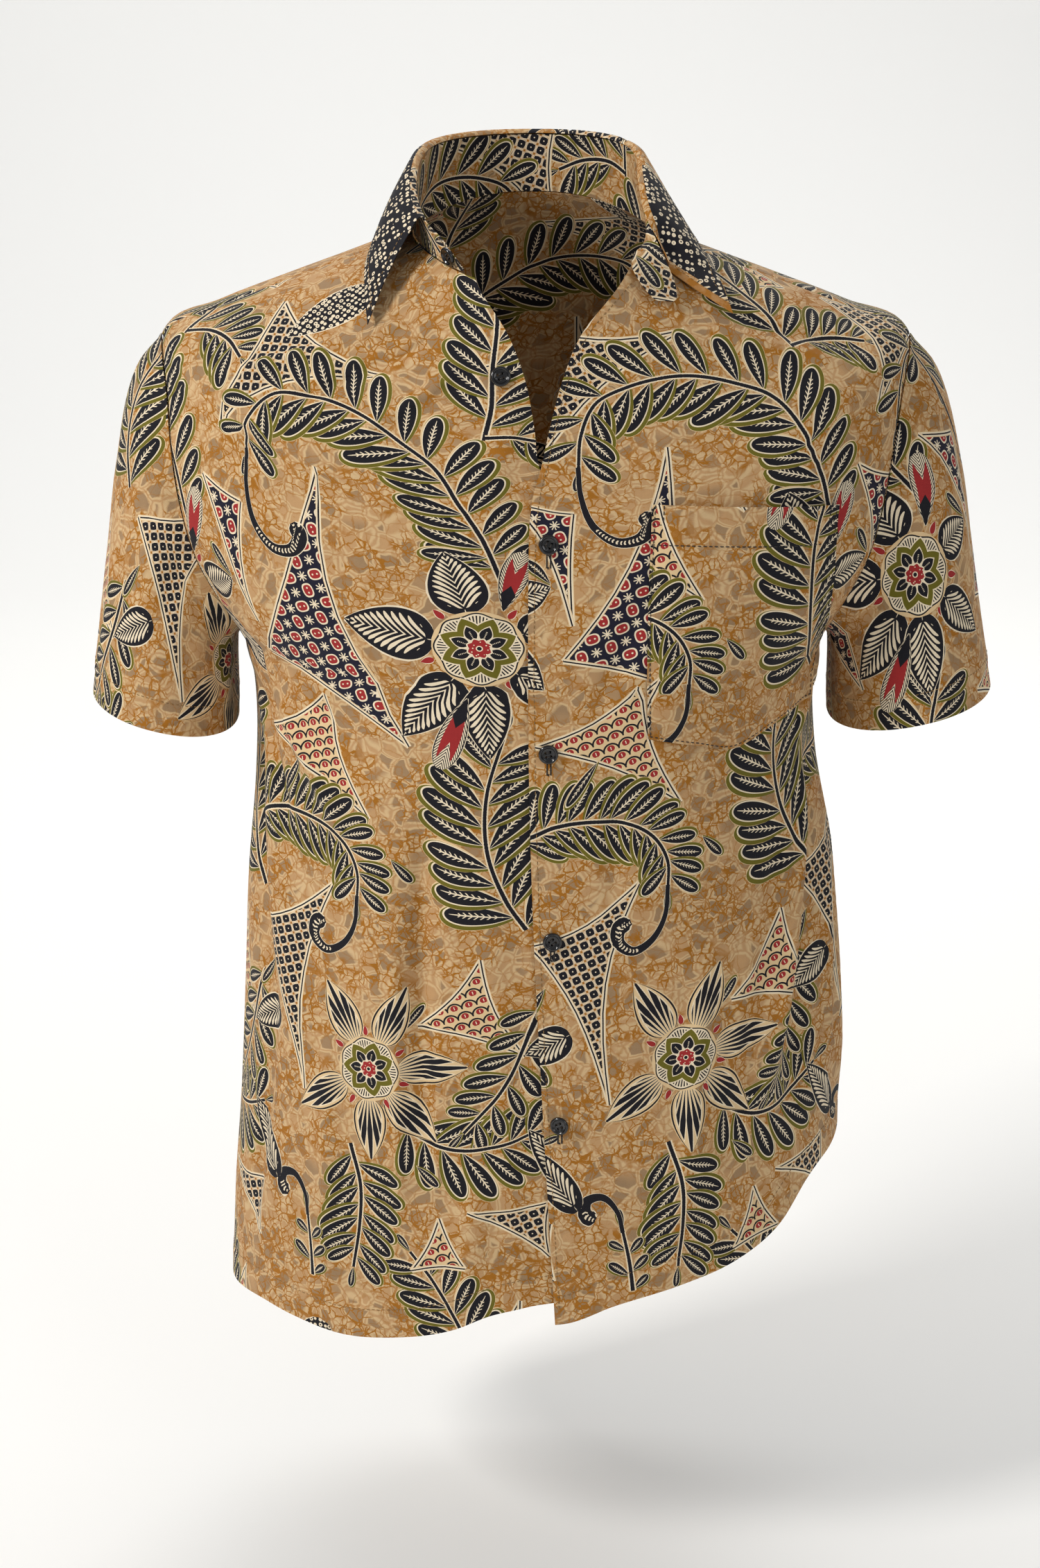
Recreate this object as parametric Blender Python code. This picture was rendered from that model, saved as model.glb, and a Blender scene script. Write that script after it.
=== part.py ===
"""Short-sleeve shirt of printed cotton, empty and in its worn shape.

Metres in the scene, millimetres in the tables. +Z is up, the front faces -Y, the wearer's left is +X.
The origin is the middle of the neck opening, at the height where the shoulder seams meet the collar.
"""
import math

import bmesh
import bpy
from mathutils import Matrix, Vector

MM = 0.001

# Cloth walls and gaps
WALL = 1.3
COLLAR_WALL = 1.6
POCKET_WALL = 1.1
SEAM_GAP = 0.4
UNDERLAP_DROP = 2.4

# Buttons
BUTTON_DIAMETER = 11.5
BUTTON_THICKNESS = 2.4
HOLE_DIAMETER = 1.5
HOLE_PITCH = 2.6

ROUNDNESS = 2.3
SEAM_ANGLE = 84.0

# Rings of the shoulders and chest, from the neck seam (0) to the armpits (7).
RING_COLUMNS = ("side_z", "front_z", "back_z", "half_right", "half_left", "front", "back")
RINGS = (
    (-4.0, -24.0, 12.0, 72.0, 72.0, 97.0, 66.0),
    (-17.0, -55.0, -15.0, 110.0, 110.0, 108.0, 85.0),
    (-31.0, -86.0, -46.0, 150.0, 150.0, 118.0, 98.0),
    (-46.0, -116.0, -80.0, 190.0, 190.0, 126.0, 106.0),
    (-62.0, -146.0, -115.0, 222.0, 225.0, 132.0, 110.0),
    (-120.0, -180.0, -158.0, 232.0, 230.0, 137.0, 112.0),
    (-180.0, -216.0, -202.0, 220.0, 218.0, 140.0, 113.0),
    (-245.0, -255.0, -250.0, 178.0, 178.0, 141.0, 113.0),
)

# Body below the armpits, by height.
BODY_COLUMNS = ("z", "half_right", "half_left", "front", "back")
BODY = (
    (-245.0, 178.0, 178.0, 141.0, 113.0),
    (-262.0, 174.0, 175.0, 141.0, 113.0),
    (-290.0, 172.0, 174.0, 141.0, 112.0),
    (-340.0, 174.0, 179.0, 140.0, 111.0),
    (-400.0, 180.0, 186.0, 139.0, 111.0),
    (-470.0, 184.0, 193.0, 139.0, 113.0),
    (-550.0, 189.0, 198.0, 139.0, 116.0),
    (-620.0, 195.0, 199.0, 139.0, 118.0),
    (-720.0, 200.0, 199.0, 139.0, 120.0),
)

# Hem height by angle round the body: 0 is centre front, +90 the wearer's left, 180 centre back.
# The right front's own hem, under the left front, is in the last column.
HEM_COLUMNS = ("angle", "z", "under_z")
HEM = (
    (-180.0, -684.0, -684.0),
    (-140.0, -695.0, -695.0),
    (-110.0, -691.0, -691.0),
    (-90.0, -682.0, -682.0),
    (-78.0, -677.0, -677.0),
    (-60.0, -670.0, -670.0),
    (-48.0, -671.0, -671.0),
    (-33.0, -674.0, -674.0),
    (-20.0, -669.0, -669.0),
    (-12.0, -662.0, -662.0),
    (-5.0, -656.0, -650.0),
    (4.0, -656.0, -642.0),
    (12.0, -645.0, -641.0),
    (24.0, -635.0, -641.0),
    (36.0, -625.0, -640.0),
    (48.0, -609.0, -640.0),
    (58.0, -586.0, -640.0),
    (68.0, -577.0, -640.0),
    (90.0, -575.0, -640.0),
    (115.0, -612.0, -640.0),
    (145.0, -656.0, -640.0),
    (180.0, -684.0, -684.0),
)

# Front edges: x of the left front's edge and of the right front's edge, by height.
EDGE_COLUMNS = ("z", "left_x", "right_x")
EDGES = (
    (-10.0, 60.0, -38.0),
    (-26.0, 48.0, -31.0),
    (-50.0, 27.0, -15.0),
    (-75.0, 16.0, -5.0),
    (-100.0, 9.0, 0.0),
    (-122.0, 4.0, 3.0),
    (-140.0, -1.0, 12.0),
    (-165.0, -3.0, 20.0),
    (-290.0, -3.0, 21.0),
    (-400.0, 0.0, 24.0),
    (-520.0, 6.0, 30.0),
    (-680.0, 15.0, 38.0),
)

# Armhole edge angle on the front and back panels, by ring number.
ARMHOLE_COLUMNS = ("ring", "front_angle", "back_angle")
ARMHOLE = (
    (4.0, 84.0, 84.0),
    (4.15, 76.0, 93.0),
    (4.4, 69.0, 102.0),
    (4.8, 65.5, 109.0),
    (5.2, 64.0, 113.0),
    (5.6, 63.5, 115.0),
    (6.0, 64.5, 115.0),
    (6.4, 67.0, 112.0),
    (6.7, 72.0, 107.0),
    (6.9, 79.0, 100.0),
    (7.0, 90.0, 90.0),
)

# Sleeve sections from armhole to cuff: outer and inner ends of each section, and its reach fore and aft.
SLEEVE_COLUMNS = ("run", "outer_right", "outer_left", "outer_z", "inner_x", "inner_z", "front", "back")
SLEEVE = (
    (0.0, 220.0, 223.0, -62.0, 178.0, -245.0, 66.0, 74.0),
    (0.1, 236.0, 240.0, -80.0, 182.5, -250.0, 68.0, 75.0),
    (0.22, 247.0, 252.0, -105.0, 184.0, -257.0, 69.0, 76.0),
    (0.38, 254.0, 261.0, -143.0, 184.5, -267.0, 69.5, 77.0),
    (0.55, 260.0, 268.0, -186.0, 184.5, -278.0, 70.0, 78.0),
    (0.75, 267.0, 276.0, -234.0, 184.5, -291.0, 70.5, 79.0),
    (1.0, 274.0, 285.0, -283.0, 184.5, -306.0, 71.0, 80.0),
)
CUFF_LIFT_LEFT = 4.0
SLEEVE_ROUNDNESS = 2.15

# Soft folds of the body: a line in (angle, height), its half width, and its depth outward.
FOLD_COLUMNS = ("angle_top", "z_top", "angle_foot", "z_foot", "half_width", "depth")
FOLDS = (
    (76.0, -290.0, 50.0, -545.0, 15.0, -8.0),
    (60.0, -300.0, 38.0, -520.0, 17.0, 4.0),
    (88.0, -330.0, 78.0, -560.0, 15.0, 5.0),
    (-80.0, -290.0, -60.0, -470.0, 13.0, -7.0),
    (-68.0, -300.0, -47.0, -500.0, 15.0, 4.0),
    (-18.0, -315.0, -17.0, -470.0, 9.0, -3.5),
    (-28.0, -330.0, -27.0, -560.0, 14.0, 3.0),
    (118.0, -290.0, 128.0, -600.0, 18.0, -7.0),
    (136.0, -250.0, 146.0, -640.0, 20.0, 6.0),
    (158.0, -200.0, 163.0, -560.0, 18.0, -4.0),
    (-116.0, -290.0, -126.0, -620.0, 18.0, -7.0),
    (-135.0, -250.0, -144.0, -660.0, 20.0, 6.0),
    (-160.0, -180.0, -164.0, -540.0, 18.0, -4.0),
    (-104.0, -320.0, -100.0, -600.0, 15.0, 5.0),
)

# Collar stand, from the wearer's right end round the neck to the wearer's left end. The foot follows the
# neck seam at an angle, and near the left end lies out over the front; the top is given as a point.
STAND_COLUMNS = ("angle", "level", "out", "top_x", "top_y", "top_z")
STAND = (
    (-30.0, 0.0, 0.3, -43.0, -87.0, -12.0),
    (-36.5, 0.0, 0.2, -53.0, -77.0, 0.0),
    (-49.0, 0.0, 0.0, -63.5, -60.0, 9.5),
    (-64.0, 0.0, 0.0, -69.0, -37.0, 21.0),
    (-80.0, 0.0, 0.0, -69.0, -12.0, 33.0),
    (-98.0, 0.0, 0.0, -64.5, 13.0, 40.5),
    (-121.0, 0.0, 0.0, -53.0, 37.0, 44.5),
    (-149.0, 0.0, 0.0, -30.0, 54.5, 46.5),
    (-180.0, 0.0, 0.0, 0.0, 61.5, 47.0),
    (-211.0, 0.0, 0.0, 30.0, 54.5, 46.5),
    (-239.0, 0.0, 0.0, 51.5, 37.0, 44.0),
    (-262.0, 0.0, 0.0, 61.5, 11.0, 38.5),
    (-280.0, 0.0, 0.2, 62.5, -17.0, 27.0),
    (-294.0, 0.0, 1.2, 65.0, -41.0, 11.0),
    (-307.5, 0.0, 3.4, 70.5, -57.0, -3.0),
    (-319.0, 0.18, 5.2, 77.0, -69.5, -16.5),
    (-324.5, 0.80, 7.0, 84.5, -84.0, -35.0),
)
STAND_END_ROUND = 0.62

# Collar fall: number of the stand station, and the free edge there.
FALL_COLUMNS = ("station", "edge_x", "edge_y", "edge_z")
FALL = (
    (1.9, -95.0, -92.0, -46.5),
    (2.6, -97.5, -70.0, -30.0),
    (3.3, -98.0, -45.0, -16.5),
    (4.2, -93.5, -16.0, -8.5),
    (5.0, -85.0, 18.0, -4.0),
    (6.0, -67.0, 52.0, -1.0),
    (7.0, -38.0, 73.0, 2.0),
    (8.0, 0.0, 80.0, 4.0),
    (9.0, 38.0, 73.0, 2.0),
    (10.0, 67.0, 52.0, -1.0),
    (11.0, 85.0, 18.0, -5.0),
    (11.9, 96.0, -12.0, -8.5),
    (12.9, 103.0, -40.0, -17.5),
    (13.9, 109.0, -62.0, -28.0),
    (14.9, 114.0, -81.0, -41.5),
)

# Chest pocket outline seen from the front: x of both sides by depth down the pocket.
POCKET_COLUMNS = ("run", "inner_x", "outer_x")
POCKET = (
    (0.0, 67.0, 175.0),
    (0.35, 65.5, 174.5),
    (0.7, 65.0, 172.0),
    (1.0, 66.0, 164.0),
)
POCKET_TOP_COLUMNS = ("across", "z")
POCKET_TOP = ((0.0, -143.0), (0.5, -146.0), (1.0, -149.0))
POCKET_FOOT_COLUMNS = ("across", "z")
POCKET_FOOT = ((0.0, -280.0), (0.3, -287.0), (0.52, -292.0), (0.75, -284.0), (1.0, -275.0))

# Front buttons below the collar: x and height; the first is sewn where the right front shows.
BUTTON_COLUMNS = ("x", "z")
BUTTONS = ((-19.0, -73.0), (8.0, -165.0), (8.5, -287.0), (11.0, -403.0), (16.0, -521.0))
COLLAR_BUTTON_STATION = 0.85


def smooth(keys, values, t):
    """Cubic through the table's points, with slopes taken from the neighbours."""
    last = len(keys) - 1
    t = min(max(t, keys[0]), keys[last]) if keys[0] < keys[last] else max(min(t, keys[0]), keys[last])
    rising = keys[0] < keys[last]
    i = 0
    while i < last - 1 and (t > keys[i + 1] if rising else t < keys[i + 1]):
        i += 1
    span = keys[i + 1] - keys[i]

    def slope(j):
        a = max(j - 1, 0)
        b = min(j + 1, last)
        return (values[b] - values[a]) / (keys[b] - keys[a])

    u = (t - keys[i]) / span
    m0 = slope(i) * span
    m1 = slope(i + 1) * span
    u2 = u * u
    u3 = u2 * u
    return ((2 * u3 - 3 * u2 + 1) * values[i] + (u3 - 2 * u2 + u) * m0
            + (3 * u2 - 2 * u3) * values[i + 1] + (u3 - u2) * m1)


def column(table, columns, name):
    """One named column of a table."""
    k = columns.index(name)
    return [row[k] for row in table]


def read(table, columns, key, name, t):
    """Smooth value of a named column where the key column is t."""
    return smooth(column(table, columns, key), column(table, columns, name), t)


def ring_value(name, ring):
    """Smooth value of a named column of the shoulder and chest rings."""
    k = RING_COLUMNS.index(name)
    return smooth(list(range(len(RINGS))), [row[k] for row in RINGS], ring)


def powered(value, exponent):
    """Signed power, for the rounded-square sections."""
    return math.copysign(abs(value) ** exponent, value)


def section(angle, half_right, half_left, front, back):
    """Point on a rounded-square section of the body at an angle."""
    a = math.radians(angle)
    s = powered(math.sin(a), 2.0 / ROUNDNESS)
    c = powered(math.cos(a), 2.0 / ROUNDNESS)
    x = s * (half_left if s > 0.0 else half_right)
    y = -c * (front if c > 0.0 else back)
    return x, y


def plain_body(angle, level, under=False):
    """Body surface without folds. Levels 0 to 7 are the rings, 7 to 8 run from armpit to hem."""
    lift = math.cos(math.radians(angle)) ** 2
    end_name = "front_z" if abs(angle) < 90.0 else "back_z"
    ring = min(level, 7.0)
    side_z = ring_value("side_z", ring)
    z = side_z + (ring_value(end_name, ring) - side_z) * lift
    if level <= 7.0:
        x, y = section(angle, ring_value("half_right", ring), ring_value("half_left", ring),
                       ring_value("front", ring), ring_value("back", ring))
        return Vector((x, y, z))
    hem_z = read(HEM, HEM_COLUMNS, "angle", "under_z" if under else "z", angle)
    z += (hem_z - z) * (level - 7.0)
    upper = [ring_value(n, 7.0) for n in ("half_right", "half_left", "front", "back")]
    lower = [read(BODY, BODY_COLUMNS, "z", n, z) for n in ("half_right", "half_left", "front", "back")]
    mix = min((level - 7.0) * 20.0, 1.0)
    x, y = section(angle, *[u + (v - u) * mix for u, v in zip(upper, lower)])
    return Vector((x, y, z))


def normal_at(surface, angle, level):
    """Outward direction of a surface given by angle and level."""
    da = 0.6
    dl = 0.02
    low = max(level - dl, 0.0)
    high = min(level + dl, 8.0)
    across = surface(angle + da, level) - surface(angle - da, level)
    down = surface(angle, high) - surface(angle, low)
    n = down.cross(across)
    return n.normalized()


def fold_offset(angle, z):
    """How far the folds move the cloth outward."""
    total = 0.0
    for top_a, top_z, foot_a, foot_z, half_width, depth in FOLDS:
        along_a = (foot_a - top_a) * 2.9
        along_z = foot_z - top_z
        length = math.hypot(along_a, along_z)
        pa = (angle - top_a) * 2.9
        pz = z - top_z
        run = (pa * along_a + pz * along_z) / (length * length)
        away = (pa * along_z - pz * along_a) / length
        if abs(away) > 3.0 * half_width or run < -0.3 or run > 1.3:
            continue
        fade = 1.0
        if run < 0.25:
            fade = max(0.0, (run + 0.05) / 0.3)
        if run > 0.75:
            fade = max(0.0, (1.05 - run) / 0.3)
        fade = fade * fade * (3.0 - 2.0 * fade)
        total += depth * fade * math.exp(-(away / half_width) ** 2)
    return total


def body(angle, level, out=0.0, under=False):
    """Body surface with its folds, moved outward by out."""
    p = plain_body(angle, level, under)
    n = normal_at(plain_body, angle, level)
    offset = fold_offset(angle, p.z)
    if abs(angle) > 150.0:
        turn = angle - math.copysign(360.0, angle)
        offset += fold_offset(turn, p.z)
    return p + n * (offset + out)


def angle_at_x(x, level):
    """Angle on the front at which the body has a given x."""
    angle = 0.0
    for _ in range(30):
        step = plain_body(angle + 0.5, level).x - plain_body(angle - 0.5, level).x
        error = x - plain_body(angle, level).x
        angle += max(-12.0, min(12.0, error / max(step, 0.05)))
        angle = max(-89.0, min(89.0, angle))
        if abs(error) < 0.01:
            break
    return angle


def level_at_z(angle, z):
    """Level at which the body has a given height."""
    low, high = 0.0, 8.0
    for _ in range(30):
        middle = 0.5 * (low + high)
        if plain_body(angle, middle).z > z:
            low = middle
        else:
            high = middle
    return 0.5 * (low + high)


def angle_level(x, z):
    """Angle and level of the front's point with a given x and height."""
    angle, level = 0.0, 5.0
    for _ in range(12):
        level = level_at_z(angle, z)
        angle = angle_at_x(x, level)
    return angle, level


def edge_angle(side, level):
    """Angle of a front's free edge at a level."""
    name = "left_x" if side > 0 else "right_x"
    angle = 20.0 * side if level < 1.0 else 0.0
    for _ in range(8):
        z = plain_body(angle, level).z
        angle = angle_at_x(read(EDGES, EDGE_COLUMNS, "z", name, z), level)
    return angle


def outer_angle(side, level, which):
    """Angle of a panel's edge away from its middle: shoulder seam, armhole or side seam."""
    gap = 0.07 if which == "front_angle" else -0.07
    if level <= 4.0:
        angle = SEAM_ANGLE
    elif level <= 7.0:
        angle = read(ARMHOLE, ARMHOLE_COLUMNS, "ring", which, level)
    else:
        angle = 90.0
    return side * (angle - gap)


ARMHOLE_LEVELS = tuple(row[0] for row in ARMHOLE)
LEVELS = ((0.0, 0.35, 0.8, 1.3, 1.9, 2.6, 3.3) + ARMHOLE_LEVELS
          + tuple(7.0 + f for f in (0.05, 0.12, 0.2, 0.29, 0.38, 0.48, 0.58, 0.68, 0.78, 0.89, 1.0)))


def grid_normals(rows, closed):
    """Outward directions of a grid of points."""
    count = len(rows)
    width = len(rows[0])
    normals = []
    for i in range(count):
        line = []
        for j in range(width):
            up = rows[max(i - 1, 0)][j]
            down = rows[min(i + 1, count - 1)][j]
            if closed:
                before = rows[i][(j - 1) % width]
                after = rows[i][(j + 1) % width]
            else:
                before = rows[i][max(j - 1, 0)]
                after = rows[i][min(j + 1, width - 1)]
            line.append((down - up).cross(after - before).normalized())
        normals.append(line)
    return normals


def cloth(name, rows, wall, closed=False):
    """One walled piece of cloth from rows of points on its outer face."""
    normals = grid_normals(rows, closed)
    count = len(rows)
    width = len(rows[0])
    bm = bmesh.new()
    outer = [[bm.verts.new(p * MM) for p in row] for row in rows]
    inner = [[bm.verts.new((p - n * wall) * MM) for p, n in zip(row, line)]
             for row, line in zip(rows, normals)]
    span = width if closed else width - 1
    for i in range(count - 1):
        for j in range(span):
            k = (j + 1) % width
            bm.faces.new((outer[i][j], outer[i + 1][j], outer[i + 1][k], outer[i][k]))
            bm.faces.new((inner[i][j], inner[i][k], inner[i + 1][k], inner[i + 1][j]))
    for j in range(span):
        k = (j + 1) % width
        bm.faces.new((outer[0][k], inner[0][k], inner[0][j], outer[0][j]))
        bm.faces.new((outer[-1][j], inner[-1][j], inner[-1][k], outer[-1][k]))
    if not closed:
        for i in range(count - 1):
            bm.faces.new((outer[i][0], inner[i][0], inner[i + 1][0], outer[i + 1][0]))
            bm.faces.new((outer[i][-1], outer[i + 1][-1], inner[i + 1][-1], inner[i][-1]))
    bmesh.ops.recalc_face_normals(bm, faces=bm.faces[:])
    return finish_mesh(name, bm)


def finish_mesh(name, bm):
    """Turns a bmesh into a scene object."""
    mesh = bpy.data.meshes.new(name)
    bm.to_mesh(mesh)
    bm.free()
    obj = bpy.data.objects.new(name, mesh)
    bpy.context.scene.collection.objects.link(obj)
    return obj


def lap_drop(side, x, z):
    """How far the right front lies under the left one, near the buttons."""
    if side > 0:
        return 0.0
    edge = read(EDGES, EDGE_COLUMNS, "z", "left_x", z)
    u = min(max((x - (edge - 26.0)) / 18.0, 0.0), 1.0)
    return -UNDERLAP_DROP * u * u * (3.0 - 2.0 * u)


def front_panel(name, side):
    """Front from its free edge to the shoulder seam, armhole and side seam."""
    steps = 14
    rows = []
    for level in LEVELS:
        start = edge_angle(side, level)
        end = outer_angle(side, level, "front_angle")
        row = []
        for k in range(steps + 1):
            angle = start + (end - start) * k / steps
            p = plain_body(angle, level, side < 0)
            row.append(body(angle, level, lap_drop(side, p.x, p.z), side < 0))
        if side < 0:
            row.reverse()
        rows.append(row)
    return cloth(name, rows, WALL)


def back_panel():
    """Back in one piece, from one side round to the other."""
    steps = 24
    rows = []
    for level in LEVELS:
        start = outer_angle(1.0, level, "back_angle")
        end = 360.0 - start
        row = []
        for k in range(steps + 1):
            angle = start + (end - start) * k / steps
            row.append(body(angle if angle <= 180.0 else angle - 360.0, level))
        rows.append(row)
    return cloth("back", rows, WALL)


def armhole_loop(side):
    """Armhole edge as a closed loop: down the front from the shoulder, up the back."""
    front = [body(side * read(ARMHOLE, ARMHOLE_COLUMNS, "ring", "front_angle", v), v)
             for v in ARMHOLE_LEVELS]
    back = [body(side * read(ARMHOLE, ARMHOLE_COLUMNS, "ring", "back_angle", v), v)
            for v in ARMHOLE_LEVELS]
    loop = front + back[-2:0:-1]
    doubled = []
    for i, p in enumerate(loop):
        doubled.append(p)
        doubled.append((p + loop[(i + 1) % len(loop)]) * 0.5)
    return doubled


def sleeve_section(side, run, turn):
    """Point of a sleeve's section; turn 0 is outermost, 0.25 front, 0.5 innermost, 0.75 back."""
    values = {n: read(SLEEVE, SLEEVE_COLUMNS, "run", n, run) for n in SLEEVE_COLUMNS[1:]}
    outer_x = values["outer_left"] if side > 0 else values["outer_right"]
    a = 2.0 * math.pi * turn
    c = powered(math.cos(a), 2.0 / SLEEVE_ROUNDNESS)
    s = powered(math.sin(a), 2.0 / SLEEVE_ROUNDNESS)
    middle_x = 0.5 * (outer_x + values["inner_x"])
    middle_z = 0.5 * (values["outer_z"] + values["inner_z"])
    x = middle_x + c * (outer_x - middle_x)
    z = middle_z + c * (values["outer_z"] - middle_z)
    if side > 0:
        z += CUFF_LIFT_LEFT * run * run
    y = -s * values["front"] if s > 0.0 else -s * values["back"]
    return Vector((side * x, y, z))


def sleeve(name, side):
    """Sleeve as one tube, from the armhole to the cuff."""
    loop = armhole_loop(side)
    lengths = [0.0]
    for i in range(len(loop)):
        lengths.append(lengths[-1] + (loop[(i + 1) % len(loop)] - loop[i]).length)
    half = len(loop) // 2
    turns = []
    for i in range(len(loop)):
        if i <= half:
            turns.append(0.5 * lengths[i] / lengths[half])
        else:
            turns.append(0.5 + 0.5 * (lengths[i] - lengths[half]) / (lengths[-1] - lengths[half]))
    rows = []
    first = []
    for p, turn in zip(loop, turns):
        step = sleeve_section(side, 0.1, turn) - p
        first.append(p + step.normalized() * (SEAM_GAP + 0.3))
    rows.append(first)
    for run in (0.06, 0.14, 0.25, 0.38, 0.52, 0.68, 0.84, 1.0):
        blend = min(run / 0.28, 1.0)
        blend = blend * blend * (3.0 - 2.0 * blend)
        row = []
        for i, turn in enumerate(turns):
            free = sleeve_section(side, run, turn)
            held = loop[i] + (sleeve_section(side, run, turn) - sleeve_section(side, 0.0, turn))
            row.append(held.lerp(free, blend))
        rows.append(row)
    if side > 0:
        rows = [list(reversed(row)) for row in rows]
    return cloth(name, rows, WALL, closed=True)


def stand_point(station, run):
    """Point of the stand's outer face; run 0 is the seam, 1 the top."""
    k = list(range(len(STAND)))
    angle, level, out = [smooth(k, [row[i] for row in STAND], station) for i in range(3)]
    if angle < -180.0:
        angle += 360.0
    level = max(level, 0.0)
    seam = plain_body(angle, level)
    rise = (plain_body(angle, level) - plain_body(angle, level + 0.05)).normalized()
    foot = seam + rise * 0.9 + normal_at(plain_body, angle, level) * out
    top = Vector([smooth(k, [row[i + 3] for row in STAND], station) for i in range(3)])
    return foot.lerp(top, run)


def stand_normal(station):
    """Direction out of the neck, square to the stand."""
    low = max(station - 0.2, 0.0)
    high = min(station + 0.2, len(STAND) - 1.0)
    along = stand_point(high, 0.5) - stand_point(low, 0.5)
    up = stand_point(station, 1.0) - stand_point(station, 0.0)
    return along.cross(up).normalized() * -1.0


def stand():
    """Collar stand with both ends rounded."""
    last = len(STAND) - 1.0
    stations = [0.0, 0.15, 0.4, 0.8] + [0.8 + 0.5 * i for i in range(1, 29)] + [15.25, 15.6, 15.85, 16.0]
    rows = []
    for run in (1.0, 0.85, 0.5, 0.15, 0.0):
        row = []
        for station in reversed(stations):
            near_end = min(station, last - station)
            squeeze = 1.0
            if near_end < STAND_END_ROUND:
                u = 1.0 - near_end / STAND_END_ROUND
                squeeze = math.sqrt(max(1.0 - u * u, 0.0)) * 0.55 + 0.45
            height = 0.5 + (run - 0.5) * squeeze
            row.append(stand_point(station, height))
        rows.append(row)
    return cloth("collar_stand", rows, COLLAR_WALL)


def fall_point(station, run):
    """Point of the fall's outer face; run 0 is over the stand's top, 1 the free edge."""
    top = stand_point(station, 1.0)
    up = (top - stand_point(station, 0.0)).normalized()
    out = stand_normal(station)
    edge = Vector([read(FALL, FALL_COLUMNS, "station", n, station) for n in FALL_COLUMNS[1:]])
    over = [top + up * 3.6 - out * 1.2, top + up * 4.4 + out * 1.6, top + up * 1.8 + out * 4.8]
    if run <= 0.16:
        u = run / 0.16
        a = over[0].lerp(over[1], u)
        b = over[1].lerp(over[2], u)
        return a.lerp(b, u)
    u = (run - 0.16) / 0.84
    bulge = out * (1.8 * math.sin(math.pi * u)) + Vector((0.0, 0.0, 1.2 * math.sin(math.pi * u)))
    return over[2].lerp(edge, u) + bulge


def fall():
    """Turned-down collar from one point round to the other."""
    first = FALL[0][0]
    last = FALL[-1][0]
    steps = 28
    rows = []
    for run in (0.0, 0.06, 0.12, 0.18, 0.32, 0.52, 0.75, 1.0):
        rows.append([fall_point(last + (first - last) * k / steps, run) for k in range(steps + 1)])
    return cloth("collar_fall", rows, COLLAR_WALL)


def pocket():
    """Patch pocket lying on the wearer's left front."""
    rows = []
    for i in range(10):
        run = i / 9.0
        row = []
        for k in range(10):
            across = k / 9.0
            inner_x = read(POCKET, POCKET_COLUMNS, "run", "inner_x", run)
            outer_x = read(POCKET, POCKET_COLUMNS, "run", "outer_x", run)
            x = inner_x + (outer_x - inner_x) * across
            top = read(POCKET_TOP, POCKET_TOP_COLUMNS, "across", "z", across)
            foot = read(POCKET_FOOT, POCKET_FOOT_COLUMNS, "across", "z", across)
            angle, level = angle_level(x, top + (foot - top) * run)
            row.append(body(angle, level, 1.1 + POCKET_WALL))
        rows.append(row)
    return cloth("pocket_left", rows, POCKET_WALL)


def button(name, place, outward):
    """Round four-hole button with a raised rim, its back at the place given."""
    r = 0.5 * BUTTON_DIAMETER
    t = BUTTON_THICKNESS
    profile = ((0.0, 0.0), (r - 1.2, 0.0), (r, 0.8), (r, t - 0.6), (r - 0.7, t), (r - 1.7, t - 0.5),
               (0.0, t - 0.8))
    bm = bmesh.new()
    chain = [bm.verts.new(Vector((x, 0.0, z)) * MM) for x, z in profile]
    edges = [bm.edges.new((a, b)) for a, b in zip(chain, chain[1:])]
    bmesh.ops.spin(bm, geom=chain + edges, cent=(0.0, 0.0, 0.0), axis=(0.0, 0.0, 1.0),
                   angle=2.0 * math.pi, steps=16, use_duplicate=False)
    bmesh.ops.remove_doubles(bm, verts=bm.verts[:], dist=1e-6)
    bmesh.ops.recalc_face_normals(bm, faces=bm.faces[:])
    obj = finish_mesh(name, bm)
    cutter = bmesh.new()
    for sx in (-0.5, 0.5):
        for sy in (-0.5, 0.5):
            move = Matrix.Translation(Vector((sx * HOLE_PITCH, sy * HOLE_PITCH, 0.5 * t)) * MM)
            bmesh.ops.create_cone(cutter, cap_ends=True, segments=6, radius1=0.5 * HOLE_DIAMETER * MM,
                                  radius2=0.5 * HOLE_DIAMETER * MM, depth=2.0 * t * MM, matrix=move)
    drill = finish_mesh(name + "_holes", cutter)
    cut = obj.modifiers.new("holes", "BOOLEAN")
    cut.operation = "DIFFERENCE"
    cut.solver = "EXACT"
    cut.object = drill
    bpy.context.view_layer.update()
    shaped = bpy.data.meshes.new_from_object(obj.evaluated_get(bpy.context.evaluated_depsgraph_get()))
    obj.modifiers.clear()
    obj.data = shaped
    bpy.data.objects.remove(drill)
    turn = outward.to_track_quat("Z", "Y").to_matrix().to_4x4()
    shaped.transform(Matrix.Translation(place * MM) @ turn)
    shaped.name = name
    return obj


def buttons():
    """Collar button and the five buttons down the front."""
    outward = stand_normal(COLLAR_BUTTON_STATION)
    place = stand_point(COLLAR_BUTTON_STATION, 0.5) + outward * 0.8
    button("button_collar", place, outward)
    for i, (x, z) in enumerate(BUTTONS):
        angle, level = angle_level(x, z)
        drop = lap_drop(-1.0, x, z) if i == 0 else 0.0
        outward = normal_at(body, angle, level)
        button("button_%d" % (i + 1), body(angle, level, drop + 0.7), outward)


for leftover in list(bpy.data.objects):
    bpy.data.objects.remove(leftover)
front_panel("front_right", -1.0)
front_panel("front_left", 1.0)
back_panel()
sleeve("sleeve_right", -1.0)
sleeve("sleeve_left", 1.0)
stand()
fall()
pocket()
buttons()
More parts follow.
